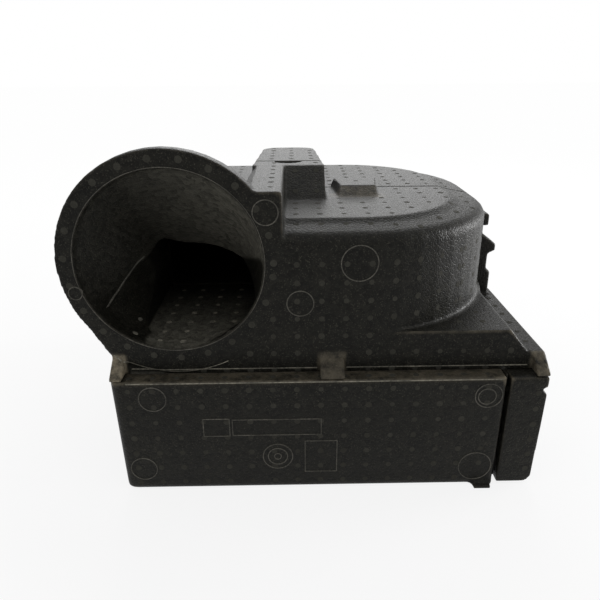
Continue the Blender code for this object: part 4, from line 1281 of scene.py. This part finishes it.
@dataclass
class Drawer(SubAssembly):
    """The drawer front with the filter cassette behind it."""

    body: Body = Body.DRAWER
    voxel: float = 1.2
    worn: tuple[Zone, ...] = (Zone((330, 371), (-2, 9), (100, 114), 0.6),)
    fold_pitch: float = 12.0
    fold_steps: int = 12
    fold_rows: int = 9
    tight: float = 0.985
    spare: float = 4.0
    paper: float = 0.8
    wire: float = 2.6
    wire_pitch: float = 36.0
    wire_corners: int = 12
    mat_voxel: float = 2.2
    mat_waves: float = 160.0
    mat_lift: float = 0.25
    mat_fill: float = 0.4

    def build(self) -> None:
        """Build and dress the drawer."""
        self.dots(self.foam("drawer_front", self.voxel, self.worn))
        self.strip("drawer_seal")
        self.strip("filter_gasket")
        for side in ("front", "rear"):
            self.plastic("cassette_clip_" + side, Coat.GREY, self.edge)
        for side in ("front", "rear", "left", "right"):
            self.plastic("filter_frame_" + side, Coat.GREY, self.edge)
        self.mat()
        self.media()
        self.grid()

    def mat(self) -> None:
        """Replace the coarse mat by a lofty, slightly uneven fibre pad."""
        solid = self.frame["nodes"]["coarse_mat"]
        piece = foam_shell(solid, "coarse_mat_pad", self.mat_voxel, self.foam_rounds)
        for vertex in piece.data.vertices:
            vertex.co.z += noise.noise(vertex.co * self.mat_waves) * self.mat_lift * MM
        self.settle(piece, Coat.FIBRE, "coarse_mat")

    def media(self) -> None:
        """Replace the folded sheet by pleated paper with rounded folds."""
        low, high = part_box("filter_media")
        size = high - low
        tree, given = new_tree("pleats", Float="Width Depth Rise", Int="Folds", Material="Finish")
        columns = calc(tree, "MULTIPLY_ADD", given["Folds"], self.fold_steps, 1.0)
        sheet = made(tree, "GeometryNodeMeshGrid", {
            "Size X": given["Width"], "Size Y": given["Depth"], "Vertices X": columns,
            "Vertices Y": self.fold_rows})
        axes = add_node(tree, "ShaderNodeSeparateXYZ", {0: made(tree, "GeometryNodeInputPosition")})
        fold = axes.outputs["X"]
        for operation, *value in (("DIVIDE", given["Width"]), ("MULTIPLY", given["Folds"]),
                                  ("MULTIPLY", 2 * math.pi), ("COSINE",), ("MULTIPLY", self.tight),
                                  ("ARCSINE",), ("MULTIPLY", 0.5 / math.asin(self.tight)),
                                  ("MULTIPLY", given["Rise"])):
            fold = calc(tree, operation, fold, *value)
        folded = made(tree, "GeometryNodeSetPosition", {
            "Geometry": sheet, "Offset": made(tree, "ShaderNodeCombineXYZ", {"Z": fold})})
        end_tree(tree, folded, given["Finish"])
        thick = self.paper * MM
        folds = int(size.x / (self.fold_pitch * MM))
        mesh = grown(tree, {"Width": size.x - thick, "Depth": size.y, "Rise": size.z - self.spare * thick,
                            "Folds": folds, "Finish": self.finishes[Coat.PAPER]})
        mesh.transform(Matrix.Translation((low + high) / 2))
        piece = link("filter_media_pleats", mesh)
        wall = piece.modifiers.new("wall", "SOLIDIFY")
        wall.thickness = thick
        wall.offset = 0.0
        piece.data = applied(piece)
        piece.data.shade_smooth()
        self.settle(piece, Coat.PAPER, "filter_media")

    def grid(self) -> None:
        """Replace the square bars by round welded wires."""
        low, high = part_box("support_grid")
        size = high - low
        radius = self.wire / 2 * MM
        tree, given = new_tree("wires", Vector="Start Run Step", Int="Count", Float="Radius",
                               Material="Finish")
        places = made(tree, "GeometryNodeMeshLine", {
            "Count": given["Count"], "Start Location": given["Start"], "Offset": given["Step"]})
        path = made(tree, "GeometryNodeCurvePrimitiveLine", {"Start": (0, 0, 0), "End": given["Run"]})
        outline = made(tree, "GeometryNodeCurvePrimitiveCircle", {
            "Resolution": self.wire_corners, "Radius": given["Radius"]})
        rod = made(tree, "GeometryNodeCurveToMesh", {
            "Curve": path, "Profile Curve": outline, "Fill Caps": True})
        wires = made(tree, "GeometryNodeInstanceOnPoints", {"Points": places, "Instance": rod})
        end_tree(tree, wires, given["Finish"])
        across = int(size.y / (self.wire_pitch * MM))
        along = int(size.x / (self.wire_pitch * MM))
        wire = {"Radius": radius, "Finish": self.finishes[Coat.WIRE]}
        lower = grown(tree, wire | {
            "Start": (low.x, low.y + radius, low.z + radius), "Run": (size.x, 0, 0),
            "Step": (0, (size.y - 2 * radius) / across, 0), "Count": across + 1})
        upper = grown(tree, wire | {
            "Start": (low.x + radius, low.y, high.z - radius), "Run": (0, size.y, 0),
            "Step": ((size.x - 2 * radius) / along, 0, 0), "Count": along + 1})
        piece = joined("support_grid_wires", [lower, upper])
        piece.data.shade_smooth()
        piece.data.set_sharp_from_angle(angle=WIRE_ANGLE)
        self.settle(piece, Coat.WIRE, "support_grid")


# Studio


@dataclass
class Studio:
    """The pale floor, the soft light and the camera."""

    # The fitted camera: millimetres, radians, pixels of the photograph, and metres for its nearest sight.
    camera_place: Triple = (-12.71, -580.55, 353.56)
    yaw: float = 0.0116
    pitch: float = 0.3896
    roll: float = -0.0082
    focal: float = 568.61
    frame_width: float = 600.0
    sensor: float = 36.0
    nearest: float = 0.01
    # The floor's size and the distances over which its glow grows, in metres.
    floor_size: float = 24.0
    near_glow: float = 0.85
    far_glow: float = 0.98
    near: float = 0.3
    far: float = 1.1
    ambient: float = 0.65
    # What mirrored rays see in front, and where and which way the surround grows brighter.
    front_dim: float = 0.25
    floor_dims: Pair = (-0.46, -0.24)
    floor_way: Triple = (0.0, 1.0, 0.0)
    world_dims: Pair = (-0.7, -0.1)
    world_way: Triple = (0.0, 0.7, 0.7)
    # Soft boxes over and behind the object, and at its right: name, place, size in metres and watts.
    soft_boxes: tuple[tuple, ...] = (("soft_box_back", (0.1, 1.45, 1.1), 1.3, 13.0),
                                     ("soft_box_right", (1.9, 0.45, 0.37), 0.7, 26.0))
    lit_height: float = 0.12

    def build(self) -> None:
        """Build the studio."""
        self.floor()
        self.world()
        for box in self.soft_boxes:
            self.lamp(*box)
        self.camera()
        bpy.context.scene.view_settings.view_transform = "Standard"

    def floor(self) -> None:
        """Lay a pale floor."""
        shape = bmesh.new()
        bmesh.ops.create_grid(shape, x_segments=2, y_segments=2, size=self.floor_size / 2)
        floor = shaped("studio_floor", shape)
        paper = GrainedFinish("studio_paper", "#f2f2f3", 0.9, level=0.1, second="#f5f5f6", grain=3.0,
                              bump=0.0).material()
        tree = paper.node_tree
        glow = made(tree, "ShaderNodeEmission", {"Color": linear("#ffffff"), "Strength": 1.0})
        place = add_node(tree, "ShaderNodeTexCoord").outputs["Object"]
        away = measure(tree, "LENGTH", place)
        level = ranged(tree, away, self.near, self.far, self.near_glow, self.far_glow)
        seen = self.seen(tree, self.dim(tree, place, self.floor_way, self.floor_dims))
        mixed = made(tree, "ShaderNodeMixShader", {
            0: calc(tree, "MULTIPLY", seen, level), 1: tree.nodes["Principled BSDF"].outputs[0], 2: glow})
        tree.links.new(mixed, tree.nodes["Material Output"].inputs["Surface"])
        floor.data.materials.append(paper)

    def dim(self, tree: Tree, place: Socket, along: Triple, between: Pair) -> Socket:
        """Dim the photographer's side, by how far a place or a direction lies along a line."""
        return ranged(tree, measure(tree, "DOT_PRODUCT", place, along), *between, self.front_dim)

    def seen(self, tree: Tree, dim: Socket) -> Socket:
        """Tell the rays that see the surround: the camera's, refracted and, dimmed, mirrored ones.

        Args:
            tree: The tree of a material or the world.
            dim: How strongly mirrored rays see it.

        Returns:
            The share that a ray sees.
        """
        path = add_node(tree, "ShaderNodeLightPath")
        mirrored = calc(tree, "MULTIPLY", path.outputs["Is Glossy Ray"], dim)
        direct = calc(tree, "MAXIMUM", path.outputs["Is Camera Ray"], mirrored)
        return calc(tree, "MAXIMUM", direct, path.outputs["Is Transmission Ray"])

    def world(self) -> None:
        """Set a white surround that lights less than it shows and is dimmer in front."""
        world = bpy.data.worlds.new("studio_light")
        bpy.context.scene.world = world
        world.use_nodes = True
        tree = world.node_tree
        back = tree.nodes["Background"]
        way = add_node(tree, "ShaderNodeTexCoord").outputs["Generated"]
        dim = self.dim(tree, way, self.world_way, self.world_dims)
        level = calc(tree, "MAXIMUM", self.seen(tree, dim), calc(tree, "MULTIPLY", dim, self.ambient))
        back.inputs["Color"].default_value = linear("#ffffff")
        tree.links.new(level, back.inputs["Strength"])

    def lamp(self, name: str, place: Triple, size: float, power: float) -> None:
        """Hang one square soft box that looks at the object.

        Args:
            name: Name of the lamp.
            place: Its place in metres.
            size: Its side in metres.
            power: Its watts.
        """
        light = bpy.data.lights.new(name, "AREA")
        light.size = size
        light.energy = power
        lamp = bpy.data.objects.new(name, light)
        bpy.context.scene.collection.objects.link(lamp)
        lamp.location = place
        way = Vector((0, 0, self.lit_height)) - Vector(place)
        lamp.rotation_euler = way.to_track_quat("-Z", "Y").to_euler()

    def camera(self) -> None:
        """Set the camera that was fitted to the box's edges in the photograph."""
        flat = math.cos(self.pitch)
        ahead = Vector((math.sin(self.yaw) * flat, math.cos(self.yaw) * flat, -math.sin(self.pitch)))
        level = Vector((math.cos(self.yaw), -math.sin(self.yaw), 0))
        above = level.cross(ahead)
        right = math.cos(self.roll) * level + math.sin(self.roll) * above
        top = math.cos(self.roll) * above - math.sin(self.roll) * level
        data = bpy.data.cameras.new("photo_camera")
        data.sensor_fit = "HORIZONTAL"
        data.sensor_width = self.sensor
        data.lens = self.focal / self.frame_width * self.sensor
        data.clip_start = self.nearest
        camera = bpy.data.objects.new("photo_camera", data)
        bpy.context.scene.collection.objects.link(camera)
        turn = Matrix((right, top, -ahead)).transposed().to_4x4()
        camera.matrix_world = Matrix.Translation(Vector(self.camera_place) * MM) @ turn
        bpy.context.scene.camera = camera


def main() -> None:
    """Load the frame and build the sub-assemblies in order."""
    logging.basicConfig(level=logging.INFO, format="%(message)s")
    for thing in list(bpy.data.objects):
        bpy.data.objects.remove(thing)
    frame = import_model()
    Studio().build()
    finishes = {coat: coat.value.material() for coat in Coat}
    vents = VentDots(finishes[Coat.VENT])
    for kind in (Tray, Drawer, RearHood, FrontHood):
        kind(frame, finishes, vents).build()


if __name__ == "__main__":
    main()
